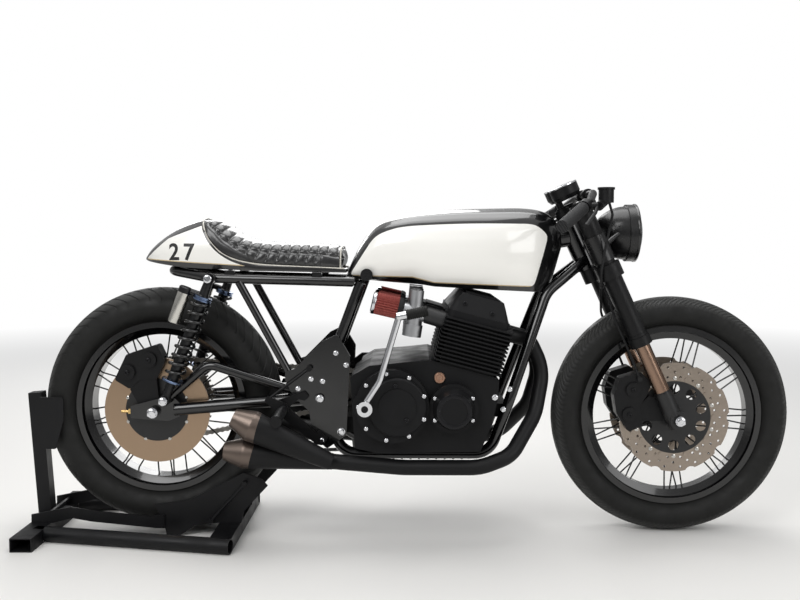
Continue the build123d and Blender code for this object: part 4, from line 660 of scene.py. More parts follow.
# %% Fuel tank
TANK_FROM, TANK_TO = 531, 1137
TANK_HALF_AT = [(531, 78), (545, 98), (575, 113), (610, 124), (660, 135), (730, 143), (800, 146), (900, 144),
                (980, 134), (1050, 112), (1100, 80), (1124, 58), (1137, 40)]
TANK_CROWN_AT = [(531, 740), (545, 776), (568, 821), (594, 860), (624, 889), (684, 906), (749, 916),
                 (856, 924), (963, 927), (1028, 927), (1079, 920), (1110, 905), (1128, 884), (1137, 862)]
TANK_FOOT_AT = [(531, 729), (715, 727.5), (740, 719), (769, 710), (1058, 693.5), (1137, 689)]
ARCH = [(0.0, 0.80), (0.14, 0.92), (0.3, 0.985), (0.45, 1.0), (0.6, 0.985), (0.74, 0.93), (0.86, 0.82),
        (0.94, 0.66), (0.982, 0.46), (0.996, 0.24), (1.0, 0.0)]
TANK_COLUMNS, TANK_ROWS = 72, 64
NOSE_LEAN, NOSE_FROM, NOSE_TOP, NOSE_HEIGHT = 34, 1040, 820, 120
TUNNEL_FROM, TUNNEL_TO, TUNNEL_HALF = 500, 1170, 30
TUNNEL_FOOT, TUNNEL_BACK_TOP, TUNNEL_FRONT_TOP = 600, 756, 812
HEAD_ROOM, HEAD_ROOM_LENGTH, HEAD_ROOM_UP = 44, 120, 681


def tank_place(column, row):
    """A point of the tank's skin: columns run from its tail to its nose, rows from one foot over the top."""
    share = column / TANK_COLUMNS
    x = TANK_FROM + (TANK_TO - TANK_FROM) * (share - math.sin(share * math.tau) / 9)
    half, crown, foot = eased(TANK_HALF_AT, x), eased(TANK_CROWN_AT, x), between(TANK_FOOT_AT, x)
    out = 2 * row / TANK_ROWS - 1
    rise = 1 - abs(out) ** 1.25
    z = foot + (crown - foot) * math.sin(rise * math.pi / 2) ** 0.92
    y = half * between(ARCH, (z - foot) / max(1, crown - foot)) * (1 if out > 0 else -1)
    forward = max(0.0, (x - NOSE_FROM) / (TANK_TO - NOSE_FROM))
    lean = NOSE_LEAN * max(0.0, NOSE_TOP - z) / NOSE_HEIGHT * forward
    return at(x - lean, y, z)


tank = skin("fuel_tank_skin", TANK_COLUMNS, TANK_ROWS, tank_place)
in_edit(tank, merge, bpy.ops.mesh.select_non_manifold, bpy.ops.mesh.edge_face_add, outwards)
tunnel = primitive(bpy.ops.mesh.primitive_cube_add, "tunnel", size=2)
for point in tunnel.data.vertices:
    back, high = point.co.x < 0, point.co.z > 0
    top = (TUNNEL_BACK_TOP if back else TUNNEL_FRONT_TOP) if high else TUNNEL_FOOT
    point.co = at(TUNNEL_FROM if back else TUNNEL_TO, TUNNEL_HALF * point.co.y, top)
cut_out(tank, tunnel)
cut_out(tank, primitive(bpy.ops.mesh.primitive_cylinder_add, "head_room", vertices=48, radius=HEAD_ROOM * MM,
                        depth=HEAD_ROOM_LENGTH * MM, location=fork_at(0, 0, HEAD_ROOM_UP),
                        rotation=(0, -RAKE, 0)))
finished(tank, bodywork("tank_two_colour_paint", tank_panel), "chassis", 40)
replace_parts(tank, "fuel_tank")

# %% [markdown]
# ## The tail
# The tail is laid up in a mould, so it is as smooth as the tank. Its section is an arch that grows from
# the tip. The seat's outline is cut out of it as one prism, and a low rim carries on under the seat to
# the tank.

# %% The tail
TAIL_FROM, TAIL_LENGTH = -42, 342
SEAT_LINE = [(132, 892), (150, 842), (182, 805), (220, 784), (284, 769), (532, 758)]
TAIL_HALF_AT = [(-42, 29), (-26, 54), (4, 80), (48, 103), (100, 115.6), (152, 118), (300, 118)]
TAIL_CROWN_AT = [(-42, 791), (-26, 811), (4, 837), (48, 866), (100, 889), (152, 902), (300, 902)]
TAIL_FOOT_AT = [(-42, 781), (-26, 777), (4, 772), (48, 766), (100, 761), (152, 758), (300, 752)]
TAIL_ARCH = [(0.0, 0.94), (0.2, 0.985), (0.4, 1.0), (0.6, 0.95), (0.78, 0.84), (0.9, 0.66), (0.97, 0.46),
             (1.0, 0.0)]
TAIL_COLUMNS, TAIL_ROWS = 44, 57
RIM_FROM, RIM_LENGTH, RIM_COLUMNS = 240, 292, 24
RIM_HALF_AT = [(240, 117), (400, 117), (470, 110), (532, 98)]
RIM_FOOT_AT = [(240, 754.2), (284, 752), (532, 747)]


def tail_place(column, row):
    """A point of the tail's skin: columns run from its tip forwards, rows from one foot over the top."""
    x = TAIL_FROM + TAIL_LENGTH * (column / TAIL_COLUMNS) ** 1.25
    half, crown, foot = eased(TAIL_HALF_AT, x), eased(TAIL_CROWN_AT, x), between(TAIL_FOOT_AT, x)
    out = 2 * (row % TAIL_ROWS) / (TAIL_ROWS - 1) - 1
    rise = math.sin(max(0.0, 1 - abs(out) ** 1.2) * math.pi / 2) ** 0.92
    return at(x, half * eased(TAIL_ARCH, rise) * (1 if out > 0 else -1), foot + (crown - foot) * rise)


def rim_place(column, row):
    """A point of the rim under the seat: four edges that run forwards from the tail."""
    x = RIM_FROM + RIM_LENGTH * column / RIM_COLUMNS
    half = between(RIM_HALF_AT, x) * (1 if row in (1, 2) else -1)
    return at(x, half, between(RIM_FOOT_AT, x) if row in (0, 1, 4) else between(SEAT_LINE, x) - 0.2)


def prism(name, outline, half):
    """A solid with this outline seen from the side, and this half width."""
    piece = primitive(bpy.ops.mesh.primitive_circle_add, name, vertices=len(outline), fill_type="NGON")
    for point, (x, z) in zip(piece.data.vertices, outline):
        point.co = at(x, -half, z)
    through = {"value": (0, 2 * half * MM, 0)}
    in_edit(piece, lambda: bpy.ops.mesh.extrude_region_move(TRANSFORM_OT_translate=through), outwards)
    return piece


tail_paint = bodywork("tail_two_colour_paint", cowl_panel)
tail = skin("tail_cowl_skin", TAIL_COLUMNS, TAIL_ROWS, tail_place)
in_edit(tail, fill_holes)
cut_out(tail, prism("seat_room", SEAT_LINE + [(600, 757), (600, 960), (131, 960)], 130))
finished(tail, tail_paint, "chassis", 40)
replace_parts(tail, "tail_cowl")

rim = skin("seat_rim", RIM_COLUMNS, 4, rim_place)
in_edit(rim, fill_holes)
applied(rim, "BEVEL", width=1.2 * MM, segments=2, limit_method="ANGLE")
finished(rim, tail_paint, "chassis", 40)
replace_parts(rim, "tail_cowl")

# %% [markdown]
# ## The sewn seat
# The seat is foam under black hide, sewn in rolls across the top. A second row of short rolls leans
# backwards down each side, with a smooth panel beside the hump and another at the front. The cushion
# starts as a closed skin, and cloth simulation blows it up a little, so that its faces crown and its
# edges turn round. The rolls are pressed in afterwards: each point remembers its place along the seat and
# how far it is from the top edge, and sinks as it nears a seam.

# %% The seat's filling
SEAT_SECTIONS = [  # top, foot, half width, how square the section is
    ((137, 896), (132.6, 892), 50, 2.8),
    ((156, 899), (135, 878), 84, 2.8),
    ((187, 887), (148, 849), 103, 3.1),
    ((225, 855), (184, 806), 110, 3.7),
    ((263, 838), (232, 782), 110, 4.3),
    ((319, 830), (303, 769), 109, 4.4),
    ((460, 826), (452, 762.5), 104, 4.4),
    ((526, 816), (526, 759.5), 95, 4.4),
]
SEAT_COLUMNS, SEAT_OVER, SEAT_UNDER = 160, 96, 10
SEAT_ROWS = SEAT_OVER + SEAT_UNDER
FRONT_ROUND = 13
SEAT_CAP = 5 * MM
CAP_FROM = 20
CLOTH_STEPS = 12


def lengths(points):
    """How far along a line each of its points lies."""
    gone = [0.0]
    for before, after in zip(points, points[1:]):
        gone.append(gone[-1] + math.dist(before, after))
    return gone


reached = lengths([top for top, *_ in SEAT_SECTIONS])
SEAT_LENGTH = reached[-1]
TOP_X, TOP_Z = [[(s, section[0][i]) for s, section in zip(reached, SEAT_SECTIONS)] for i in (0, 1)]
FOOT_X, FOOT_Z = [[(s, section[1][i]) for s, section in zip(reached, SEAT_SECTIONS)] for i in (0, 1)]
SEAT_HALF_AT, SQUARE_AT = [[(s, section[i]) for s, section in zip(reached, SEAT_SECTIONS)] for i in (2, 3)]


def evenly(points, count):
    """Places spread evenly along a line through some points."""
    gone = lengths(points)
    ys, ws = [[(g, point[i]) for g, point in zip(gone, points)] for i in (0, 1)]
    return [(between(ys, gone[-1] * i / count), between(ws, gone[-1] * i / count)) for i in range(count + 1)]


def seat_section(s):
    """The outline of the seat's section from its right foot over the top to its left foot, across and up."""
    top = Vector((eased(TOP_X, s), eased(TOP_Z, s)))
    foot = Vector((eased(FOOT_X, s), eased(FOOT_Z, s)))
    half, square = eased(SEAT_HALF_AT, s), eased(SQUARE_AT, s)
    turns = [math.pi * i / 180 for i in range(181)]
    arch = [(-half * math.copysign(abs(math.cos(t)) ** (2 / square), math.cos(t)),
             max(0.0, math.sin(t)) ** (2 / square)) for t in turns]
    height = (top - foot).length
    over = evenly([(y, w * height) for y, w in arch], SEAT_OVER)
    under = [(half * (1 - 2 * i / SEAT_UNDER), 0.0) for i in range(1, SEAT_UNDER)]
    return over + under, foot, (top - foot) / height, height


sections = [seat_section(SEAT_LENGTH * column / SEAT_COLUMNS) for column in range(SEAT_COLUMNS + 1)]
marks = []


def seat_place(column, row):
    """A point of the seat's skin. Its places along the seat, under the top and over the foot are noted."""
    outline, foot, up, height = sections[column]
    y, w = outline[row % SEAT_ROWS]
    s = SEAT_LENGTH * column / SEAT_COLUMNS
    marks.append((s, height - w, w))
    left = SEAT_LENGTH - s
    tuck = math.sqrt(1 - (1 - left / FRONT_ROUND) ** 2) if left < FRONT_ROUND else 1.0
    y, w = y * (0.86 + 0.14 * tuck), height * 0.5 + (w - height * 0.5) * tuck
    spot = foot + up * w
    return at(spot.x, y, spot.y)


seat = skin("sewn_seat", SEAT_COLUMNS, SEAT_ROWS, seat_place)
for name, values in zip(("along", "down", "above"), zip(*marks)):
    noted = seat.data.attributes.new(name, "FLOAT", "POINT")
    noted.data.foreach_set("value", values)
in_edit(seat, fill_holes)
firm = [point.co.copy() for point in seat.data.vertices]
only(seat)
cloth = seat.modifiers.new("filling", "CLOTH")
cloth.settings.use_pressure = True
cloth.settings.uniform_pressure_force = 4
cloth.settings.effector_weights.gravity = 0
for step in range(1, CLOTH_STEPS + 1):
    bpy.context.scene.frame_set(step)
bpy.ops.object.modifier_apply(modifier=cloth.name)
bpy.context.scene.frame_set(1)
for point, before, height in zip(seat.data.vertices, firm, seat.data.attributes["above"].data):
    moved = point.co - before
    room = SEAT_CAP * min(1.0, height.value / CAP_FROM)
    point.co = before + moved * min(1.0, room / max(moved.length, 1e-9))
print("seat points:", len(firm), "length over the top:", round(SEAT_LENGTH), "mm")

# %% The seat's rolls
ROLL = 26.5
ROLL_DEPTH = 6.5
FIRST_ROLL, LAST_ROLL = 22, SEAT_LENGTH - 9
SIDE_SEAM = 27
BORDER_AT = [(0, 60), (22, 16), (60, 27), (110, 33), (150, 24), (186, 0), (SEAT_LENGTH, 0)]
FRONT_PANEL = SEAT_LENGTH - 62
HUMP_EDGE, TOP_EDGE, LAST_EDGE, FRONT_EDGE, SIDE_EDGE = 13, 9, 6, 10, 8
SIDE_LEAN, SIDE_FROM, SIDE_RISE = 0.14, 3, 14


def swell(away, edge):
    """How far a stuffed roll has risen at a distance from its seam: 0 at the seam, and 1 from the edge on."""
    share = max(0.0, min(1.0, away / edge))
    return math.sqrt(1 - (1 - share) ** 2)


def across_roll(s):
    """How far a roll has risen at a place along the seat."""
    part = ((s - FIRST_ROLL) / ROLL) % 1.0
    return swell(min(part, 1 - part) * ROLL, ROLL / 2)


def risen(s, down, above):
    """How far the hide has risen at a point of the seat, from 0 on a seam to 1."""
    border = between(BORDER_AT, s)
    if s < FIRST_ROLL:
        return swell(FIRST_ROLL - s, HUMP_EDGE)
    if above < border:
        return swell(border - above, HUMP_EDGE)
    seam = min(abs(down - SIDE_SEAM), above - border)
    if down <= SIDE_SEAM:
        return (across_roll(s) if s < LAST_ROLL else swell(s - LAST_ROLL, LAST_EDGE)) * swell(seam, TOP_EDGE)
    if s > FRONT_PANEL:
        return swell(seam, FRONT_EDGE) * swell(s - FRONT_PANEL, FRONT_EDGE)
    leaning = across_roll(s + SIDE_LEAN * (down - SIDE_SEAM))
    foot = max(0.0, min(1.0, (above - SIDE_FROM) / SIDE_RISE))
    return swell(seam, SIDE_EDGE) * (1 - (1 - leaning) * foot)


normals = [point.normal.copy() for point in seat.data.vertices]
noted = seat.data.attributes
for i, point in enumerate(seat.data.vertices):
    s, down, above = (noted[name].data[i].value for name in ("along", "down", "above"))
    if above > 0.5:
        sunk = (1 - risen(s, down, above)) * ROLL_DEPTH * min(1.0, above / 8)
        point.co -= normals[i] * sunk * MM
applied(seat, "SUBSURF", levels=1, render_levels=1)
hide = coated("rolled_seat_hide", "0d0d0e", (1.1, 0.04, 3.0), (12, 0.3, 0.42), Specular_IOR_Level=0.5,
              Coat_Weight=0.7, Coat_Roughness=0.13)
finished(seat, hide, "chassis", 70)
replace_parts(seat, "seat_pad")

# %% [markdown]
# ### Piping and the tail's number
# A round bead runs along the seat's lower edge and up over the hump, where hide meets paint, and another
# round the front. The bead is real, and its pale grey is a painted highlight: it stands for the bright
# reflection along a glossy black bead. The tail carries a plain number, cut from thin film: text turned
# into a mesh and pressed onto the paint.

# %% Piping
PIPING = 4.5
SIDES = ((-1, "right"), (1, "left"))
HUMP_PIPING = [(130, 0), (130, 30), (130.5, 55), (132.5, 78), (139, 99)]
SIDE_PIPING = [(149, 108, 842), (181, 113, 805), (219, 114, 784), (284, 114, 769.5), (400, 113.5, 764),
               (470, 107, 761), (526, 98, 758.5)]


def bead(name, points):
    """A round bead along a smooth curve guided by some points."""
    piece = primitive(bpy.ops.curve.primitive_nurbs_path_add, name)
    spline = piece.data.splines[0]
    spline.points.add(len(points) - len(spline.points))
    for knot, spot in zip(spline.points, points):
        knot.co = (*spot, 1)
    spline.order_u = 3
    spline.use_endpoint_u = True
    piece.data.bevel_depth = PIPING / 2 * MM
    piece.data.bevel_resolution = 4
    piece.data.use_fill_caps = True
    piece.data.resolution_u = 6
    bpy.ops.object.convert(target="MESH")
    return finished(bpy.context.object, piping_highlight_paint, "chassis", 50)


def laid_on_tail(x, y):
    """A place just over the tail's crown, found by a ray from above."""
    _, spot, normal, _ = tail.ray_cast(at(x, y, 1000), Vector((0, 0, -1)))
    return spot + normal * 0.8 * MM


# The piping's pale grey is a painted highlight, standing for the bright reflection along a glossy black bead.
piping_highlight_paint = coated("seat_piping_painted_highlight", "bcb8ae", (2, 0.02), Roughness=0.3)
for side, name in SIDES:
    bead("seat_piping_" + name, [laid_on_tail(x, side * y) for x, y in HUMP_PIPING]
         + [at(x, side * y, z) for x, y, z in SIDE_PIPING])
outline, foot, up, height = seat_section(SEAT_LENGTH - 9)
front_curve = []
for y, w in outline[:SEAT_OVER + 1:8]:
    spot = foot + up * (w + 0.6)
    front_curve.append(at(spot.x, y * 1.01, spot.y))
bead("seat_front_piping", front_curve)

# %% The tail's number
NUMBER = "27"
NUMBER_X, NUMBER_Z, NUMBER_HEIGHT = 78, 783, 64
film = coated("black_number_film", "1b1a1a", (3, 0.01), Roughness=0.4)
for side, name in SIDES:
    digits = primitive(bpy.ops.object.text_add, "tail_number_" + name,
                       location=at(NUMBER_X, side * 150, NUMBER_Z),
                       rotation=(math.pi / 2, 0, 0 if side < 0 else math.pi))
    digits.data.body = NUMBER
    digits.data.size = NUMBER_HEIGHT * MM
    digits.data.space_character = 1.35
    digits.data.offset = 1.4 * MM
    digits.data.align_x = "CENTER"
    bpy.ops.object.convert(target="MESH")
    digits = bpy.context.object
    bpy.ops.object.transform_apply(location=True, rotation=True, scale=True)
    in_edit(digits, lambda: bpy.ops.mesh.subdivide(number_cuts=3))
    applied(digits, "SHRINKWRAP", target=tail, wrap_method="PROJECT", use_project_y=True,
            use_negative_direction=True, use_positive_direction=True, offset=0.4 * MM)
    finished(digits, film, "chassis")

# %% [markdown]
# ## Fasteners
# A bolt looks right when it sits on the face that it holds. So each one is given by its place seen from
# the side, and a ray finds the surface of the solid part there. Three heads are modelled once and copied:
# a cap screw with its socket, a hexagon nut with its chamfer and washer, and a domed rivet.

# %% Three heads
def turned(name, vertices, diameter, height):
    """A short cylinder that stands on the middle of the grid, ready for shaping."""
    piece = primitive(bpy.ops.mesh.primitive_cylinder_add, name, vertices=vertices, radius=diameter / 2 * MM,
                      depth=height * MM, location=(0, 0, height / 2 * MM))
    bpy.ops.object.transform_apply(location=True, rotation=True, scale=True)
    return piece


def top_worked(piece, *insets, sunk=0):
    """Insets the top face of a piece, each time by a width and a rise, and then sinks its middle."""
    in_edit(piece, lambda: bpy.ops.mesh.select_all(action="DESELECT"))
    for face in piece.data.polygons:
        face.select = face.normal.z > 0.9
    bpy.ops.object.mode_set(mode="EDIT")
    bpy.ops.mesh.select_mode(type="FACE")
    for width, rise in insets:
        bpy.ops.mesh.inset(thickness=width * MM, depth=rise * MM)
    if sunk:
        bpy.ops.mesh.extrude_region_move(TRANSFORM_OT_translate={"value": (0, 0, -sunk * MM)})
    bpy.ops.object.mode_set(mode="OBJECT")
    return piece


cap_head = top_worked(turned("cap_head", 18, 10, 5), (0.8, 0.6), (1.3, 0), sunk=3)
hex_head = top_worked(turned("hex_head", 6, 11.5, 5), (1, 0.7), (1.5, 0), sunk=0.5)
rivet_head = top_worked(turned("rivet_head", 16, 10, 1.4), (1.6, 0.8), (1.6, 0.3))
washer = turned("washer", 24, 12.5, 1)

# %% Fasteners on their faces
RIGHT, LEFT = ACROSS, -ACROSS  # the way that a ray or a bolt goes into that side
BOTH = (RIGHT, LEFT)
POINTS_X, POINTS_Z = 826, 388


def on_face(node, spot, way, beside=0):
    """Where a ray towards a solid part first meets it, taken a little beside a spot that is hollow."""
    _, met, _, _ = parts[node].ray_cast(spot - way * 0.5 + AHEAD * beside * MM, way)
    return Vector((spot.x, met.y, spot.z))


def fixed(head, place, out, size):
    """A copy of a head, turned to stand on a face and scaled to its size."""
    piece = head.copy()
    piece.data = head.data.copy()
    bpy.context.scene.collection.objects.link(piece)
    turn = out.to_track_quat("Z", "Y").to_matrix().to_4x4()
    piece.data.transform(Matrix.Translation(place) @ turn @ Matrix.Scale(size, 4))
    return piece


def round_places(x, z, radius, count):
    """Places spread evenly round a centre, seen from the side."""
    turns = [math.tau * (i + 0.5) / count for i in range(count)]
    return [(x + radius * math.cos(turn), z + radius * math.sin(turn)) for turn in turns]


fork_x, fork_z = (FRONT_AXLE.x - REAR_AXLE.x) / MM, FRONT_AXLE.z / MM
wheel_x, wheel_z = 0, REAR_AXLE.z / MM
points_circle = round_places(POINTS_X, POINTS_Z, 77, 8)
points_screws = [(POINTS_X + x, POINTS_Z + z) for x in (-50.5, 50.5) for z in (-29.6, 29.6)]
plate_bolts = [(506, 528), (534, 495), (469, 450), (437, 456), (401, 429)]
FASTENERS = [  # finish, body, head, node, sides, size, places
    ("chrome", "chassis", cap_head, "clutch_cover", (RIGHT,), 1.05, round_places(662, 396, 90, 9)),
    ("chrome", "chassis", cap_head, "points_cover", (RIGHT,), 0.95, points_screws),
    ("chrome", "chassis", cap_head, "alternator_cover", (LEFT,), 0.95, points_circle),
    ("chrome", "chassis", hex_head, "pivot_plates", BOTH, 1.15, plate_bolts),
    ("chrome", "chassis", hex_head, "rearsets", BOTH, 1.2, [(467, 288)]),
    ("chrome", "chassis", hex_head, "pivot_plates", BOTH, 1.7, [(462, 404), (520, 310)]),
    ("chrome", "chassis", hex_head, "crankcase", BOTH, 1.3, [(938, 415)]),
    ("chrome", "chassis", hex_head, "cradle", BOTH, 1.2, [(985, 426), (967, 371)]),
    ("black", "chassis", cap_head, "cylinder_head", BOTH, 1.1, [(858, 668), (931, 640)]),
    ("black", "chassis", cap_head, "clutch_cover", (RIGHT,), 1.1, [(671, 454), (701, 363)]),
    ("chrome", "chassis", hex_head, "swingarm", BOTH, 2.3, [(wheel_x, wheel_z)]),
    ("chrome", "chassis", cap_head, "subframe", BOTH, 2.2, [(165, 733)]),
    ("chrome", "chassis", hex_head, "swingarm", BOTH, 1.9, [(37, 399)]),
    ("black", "chassis", cap_head, "rear_caliper", (RIGHT,), 1.2, [(-74, 472), (-14, 506)]),
    ("chrome", "fork", hex_head, "fork_legs", BOTH, 2.2, [(fork_x, fork_z)]),
    ("black", "fork", cap_head, "front_calipers", BOTH, 1.1, [(1333, 420), (1323, 350)]),
    ("rivet", "front_wheel", rivet_head, "front_discs", BOTH, 1.15, round_places(fork_x, fork_z, 111, 10)),
    ("rivet", "rear_wheel", rivet_head, "rear_disc", (RIGHT,), 1.1, round_places(wheel_x, wheel_z, 88, 8)),
]
bolt_black = coated("blackened_steel", "1c1c1e", (2, 0.01), (15, 0.25, 0.4), Metallic=0.7)
rivet_steel = coated("plated_rivet_steel", "b9b7b2", (2, 0.01), (15, 0.22, 0.35), Metallic=1.0)
BOLT_FINISHES = {"chrome": chrome, "black": bolt_black, "rivet": rivet_steel}
groups = {}
for metal, body, head, node, sides, size, places in FASTENERS:
    heads = (head, washer) if head is hex_head else (head,)
    for x, z in places:
        for way in sides:
            spot = on_face(node, at(x, 0, z), way, 9 if node == "fork_legs" else 0)
            groups.setdefault((metal, body), []).extend(fixed(piece, spot, -way, size) for piece in heads)
for (metal, body), made in groups.items():
    gathered(metal + "_fasteners_" + body, made, BOLT_FINISHES[metal], body)
for head in (cap_head, hex_head, rivet_head, washer):
    bpy.data.objects.remove(head)

# %% [markdown]
# ## Air filters
# Each carburettor breathes through a pod of pleated gauze between a chrome cap and a rubber collar. All
# three are round pieces on the line of the intake, made as on a lathe: each row gives a height along the
# line and a radius. The pleats come from columns that lie in turn on an outer and an inner circle.

# %% Lathe work and air filters
CYLINDER_Y = (-165, -55, 55, 165)
INTAKE_MOUTH = at(692, 0, 650)
INTAKE_RUN = (at(752, 0, 636) - INTAKE_MOUTH).normalized()
INTAKE_UP = Vector((-INTAKE_RUN.z, 0, INTAKE_RUN.x))
PLEATS, PLEAT_OUT, PLEAT_IN = 26, 29.8, 24.2
GAUZE_ROWS = [-79, -62.75, -46.5, -30.25, -14]
CAP_ROWS = [(-88, 0), (-88, 24), (-87.3, 28), (-85, 30.6), (-79, 31), (-77.5, 30.4), (-77.5, 25), (-77.5, 0)]
COLLAR_ROWS = [(-0.5, 0), (-0.5, 25), (-2, 28), (-8, 30.8), (-14.5, 31), (-15.5, 30), (-15.5, 0)]


def lathed(name, centre, axis, first, rows, count=48):
    """A round piece on any axis, from its rows of height and radius, whose first column lies that way out."""
    other = axis.cross(first)

    def place_of(column, row):
        height, radius = rows[row]
        turn = math.tau * column / count
        return centre + axis * height * MM + (first * math.cos(turn) + other * math.sin(turn)) * radius * MM
    piece = skin(name, count, len(rows) - 1, place_of)
    in_edit(piece, merge, outwards)
    return piece


def spun(name, centre, axis, rows, count=48):
    """A round piece on any axis, from its rows of height and radius."""
    return lathed(name, centre, axis, axis.orthogonal().normalized(), rows, count)


def intake_piece(name, y, rows):
    """A round piece on one intake."""
    return lathed(name, INTAKE_MOUTH + ACROSS * y * MM, INTAKE_RUN, INTAKE_UP, rows, 32)


def pleated(name, y):
    """The gauze of one filter, folded in pleats."""
    side = INTAKE_RUN.cross(INTAKE_UP)

    def place_of(column, row):
        radius = PLEAT_OUT if column % 2 else PLEAT_IN
        turn = math.pi * column / PLEATS
        ring = INTAKE_UP * math.cos(turn) + side * math.sin(turn)
        return INTAKE_MOUTH + ACROSS * y * MM + INTAKE_RUN * GAUZE_ROWS[row] * MM + ring * radius * MM
    piece = skin(name, 2 * PLEATS, len(GAUZE_ROWS) - 1, place_of)
    in_edit(piece, merge, outwards)
    return piece


gauze, tree, shader = finish("oiled_cotton_gauze", Roughness=0.75)
wires = add(tree, "TexVoronoi", {"Scale": per_mm(2.2)}, {"Vector": own_place(tree)})
woven = ranged(tree, wires.outputs["Distance"], 0.2, 0.7)
tree.links.new(mixed_by(tree, woven, colour("a8564e"), colour("7a332d")), shader.inputs["Base Color"])
FILTER_PIECES = [
    ("filter_gauze", gauze, lambda y: pleated("gauze", y)),
    ("filter_caps", chrome, lambda y: intake_piece("cap", y, CAP_ROWS)),
    ("filter_collars", hose_rubber, lambda y: intake_piece("collar", y, COLLAR_ROWS)),
]
for name, material, maker in FILTER_PIECES:
    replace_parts(gathered(name, [maker(y) for y in CYLINDER_Y], material, "chassis"), "air_filters")

# %% [markdown]
# ## Lamp and instruments
# Behind the lens sits a polished dish with a bulb shade. Each instrument has a black dial with white
# marks round its edge, a needle and a polished ring that holds the glass.

# %% Lamp and instruments
LAMP = fork_at(148, 0, 522)
DISH_R = 72
DISH_ROWS = [(6.6 + 3.4 * (r / DISH_R) ** 2, r) for r in range(0, DISH_R + 1, 8)]
SHADE_ROWS = [(8, 0), (8, 9), (13, 8), (16, 5), (17, 0)]
LAMP_RING_ROWS = [(9, 81.4), (12, 83), (16, 82.5), (17.5, 79), (16, 75.5), (12, 75.4)]
finished(spun("lamp_reflector", LAMP, AHEAD, DISH_ROWS), chrome, "fork", 60)
finished(spun("bulb_shade", LAMP, AHEAD, SHADE_ROWS, 24), chrome, "fork", 60)
finished(spun("lamp_ring", LAMP, AHEAD, LAMP_RING_ROWS, 72), enamel, "fork", 60)

DIAL_Y, DIAL_AHEAD, DIAL_UP = 46, 21, 721
DIAL_ROWS = [(0.2, 0), (0.7, 0), (0.7, 36.6), (0.2, 36.6)]
DIAL_RING_ROWS = [(2.9, 36), (4.2, 37), (4.6, 39), (3.8, 41.2), (0.8, 41.4), (0.8, 41.1)]
DIAL_START, DIAL_STEP, DIAL_MARKS, MARKS_OUT = -130, 13, 21, 34
dial_black = coated("dial_print_black", "141414", (2, 0.01), Roughness=0.5)
dial_white = coated("dial_print_white", "e9e7df", (2, 0.01), Roughness=0.5)
needle_red = coated("needle_lacquer", "c03a20", (2, 0.01), Roughness=0.4)


def dial_way(degrees):
    """A direction across a dial: 0 is straight ahead."""
    turn = math.radians(degrees)
    return STEM_AHEAD * math.cos(turn) + ACROSS * math.sin(turn)


def flat_bar(centre, way, length, width, height):
    """A thin flat bar that lies on a dial and narrows to half its width."""
    piece = primitive(bpy.ops.mesh.primitive_cube_add, "bar", size=1)
    across = STEM_UP.cross(way)
    for point in piece.data.vertices:
        x, y, z = point.co
        taper = 1 - 0.5 * (x + 0.5)
        point.co = (centre + way * (x + 0.5) * length * MM + across * y * width * taper * MM
                    + STEM_UP * z * height * MM)
    in_edit(piece, outwards)
    return piece


dial_marks, needles, rings, dials = [], [], [], []
for y in (-DIAL_Y, DIAL_Y):
    centre = fork_at(DIAL_AHEAD, y, DIAL_UP)
    dials.append(spun("dial", centre, STEM_UP, DIAL_ROWS))
    rings.append(spun("ring", centre, STEM_UP, DIAL_RING_ROWS))
    for i in range(DIAL_MARKS):
        way = dial_way(DIAL_START + DIAL_STEP * i)
        long = 7 if i % 2 == 0 else 4
        spot = centre + way * (MARKS_OUT - long) * MM + STEM_UP * 0.9 * MM
        dial_marks.append(flat_bar(spot, way, long, 1.2, 0.4))
    way = dial_way(DIAL_START)
    needles.append(flat_bar(centre - way * 6 * MM + STEM_UP * 2 * MM, way, 32, 2.2, 0.6))
gathered("instrument_dials", dials, dial_black, "fork")
gathered("instrument_marks", dial_marks, dial_white, "fork")
gathered("instrument_needles", needles, needle_red, "fork")
gathered("instrument_rings", rings, chrome, "fork")

# %% [markdown]
# ## Shock absorbers
# Each damper is turned: an eye at each end, a body, and the collars that hold the spring. Its gas
# reservoir, a bright tube with a black cap, hangs behind it on a short arm. All of it is lathe work round
# the line between the two eyes.

# %% Shock absorbers
SHOCK_FOOT, SHOCK_HEAD, SHOCK_Y = at(37, 0, 399), at(165, 0, 733), 152
shock_up = (SHOCK_HEAD - SHOCK_FOOT).normalized()
shock_back = Vector((-shock_up.z, 0, shock_up.x))
SHOCK_LENGTH = (SHOCK_HEAD - SHOCK_FOOT).length / MM
EYE_HALF = 13
LOW, HIGH = 54, SHOCK_LENGTH - 65
ARM_BELOW_HEAD = 52
CAN_FOOT, CAN_TOP, CAN_BEHIND = SHOCK_LENGTH - 148, SHOCK_LENGTH - 44, 52
LID_FOOT = CAN_TOP - 17
BODY_ROWS = [(10, 0), (10, 12), (LOW, 12), (LOW, 15), (HIGH - 1, 15), (HIGH - 1, 20), (HIGH + 12, 20),
             (HIGH + 16, 14), (SHOCK_LENGTH - 10, 12), (SHOCK_LENGTH - 10, 0)]
LOW_ROWS = [(LOW, 14), (LOW, 26), (LOW + 1.5, 29), (LOW + 6, 29), (LOW + 7, 28), (LOW + 7, 14)]
HIGH_ROWS = [(HIGH, 14), (HIGH, 25), (HIGH + 1, 26), (HIGH + 5, 26), (HIGH + 6, 23), (HIGH + 8, 23),
             (HIGH + 9, 26), (HIGH + 13, 26), (HIGH + 14, 14)]
CAN_ROWS = [(CAN_FOOT, 0), (CAN_FOOT, 14), (CAN_FOOT + 1.5, 16.8), (CAN_FOOT + 4, 17.6), (LID_FOOT, 17.6),
            (LID_FOOT, 0)]
LID_ROWS = [(LID_FOOT, 0), (LID_FOOT, 18), (CAN_TOP - 3, 18), (CAN_TOP, 15), (CAN_TOP, 0)]
ARM_ROWS = [(0, 0), (0, 10), (CAN_BEHIND - 12, 8.5), (CAN_BEHIND - 12, 0)]
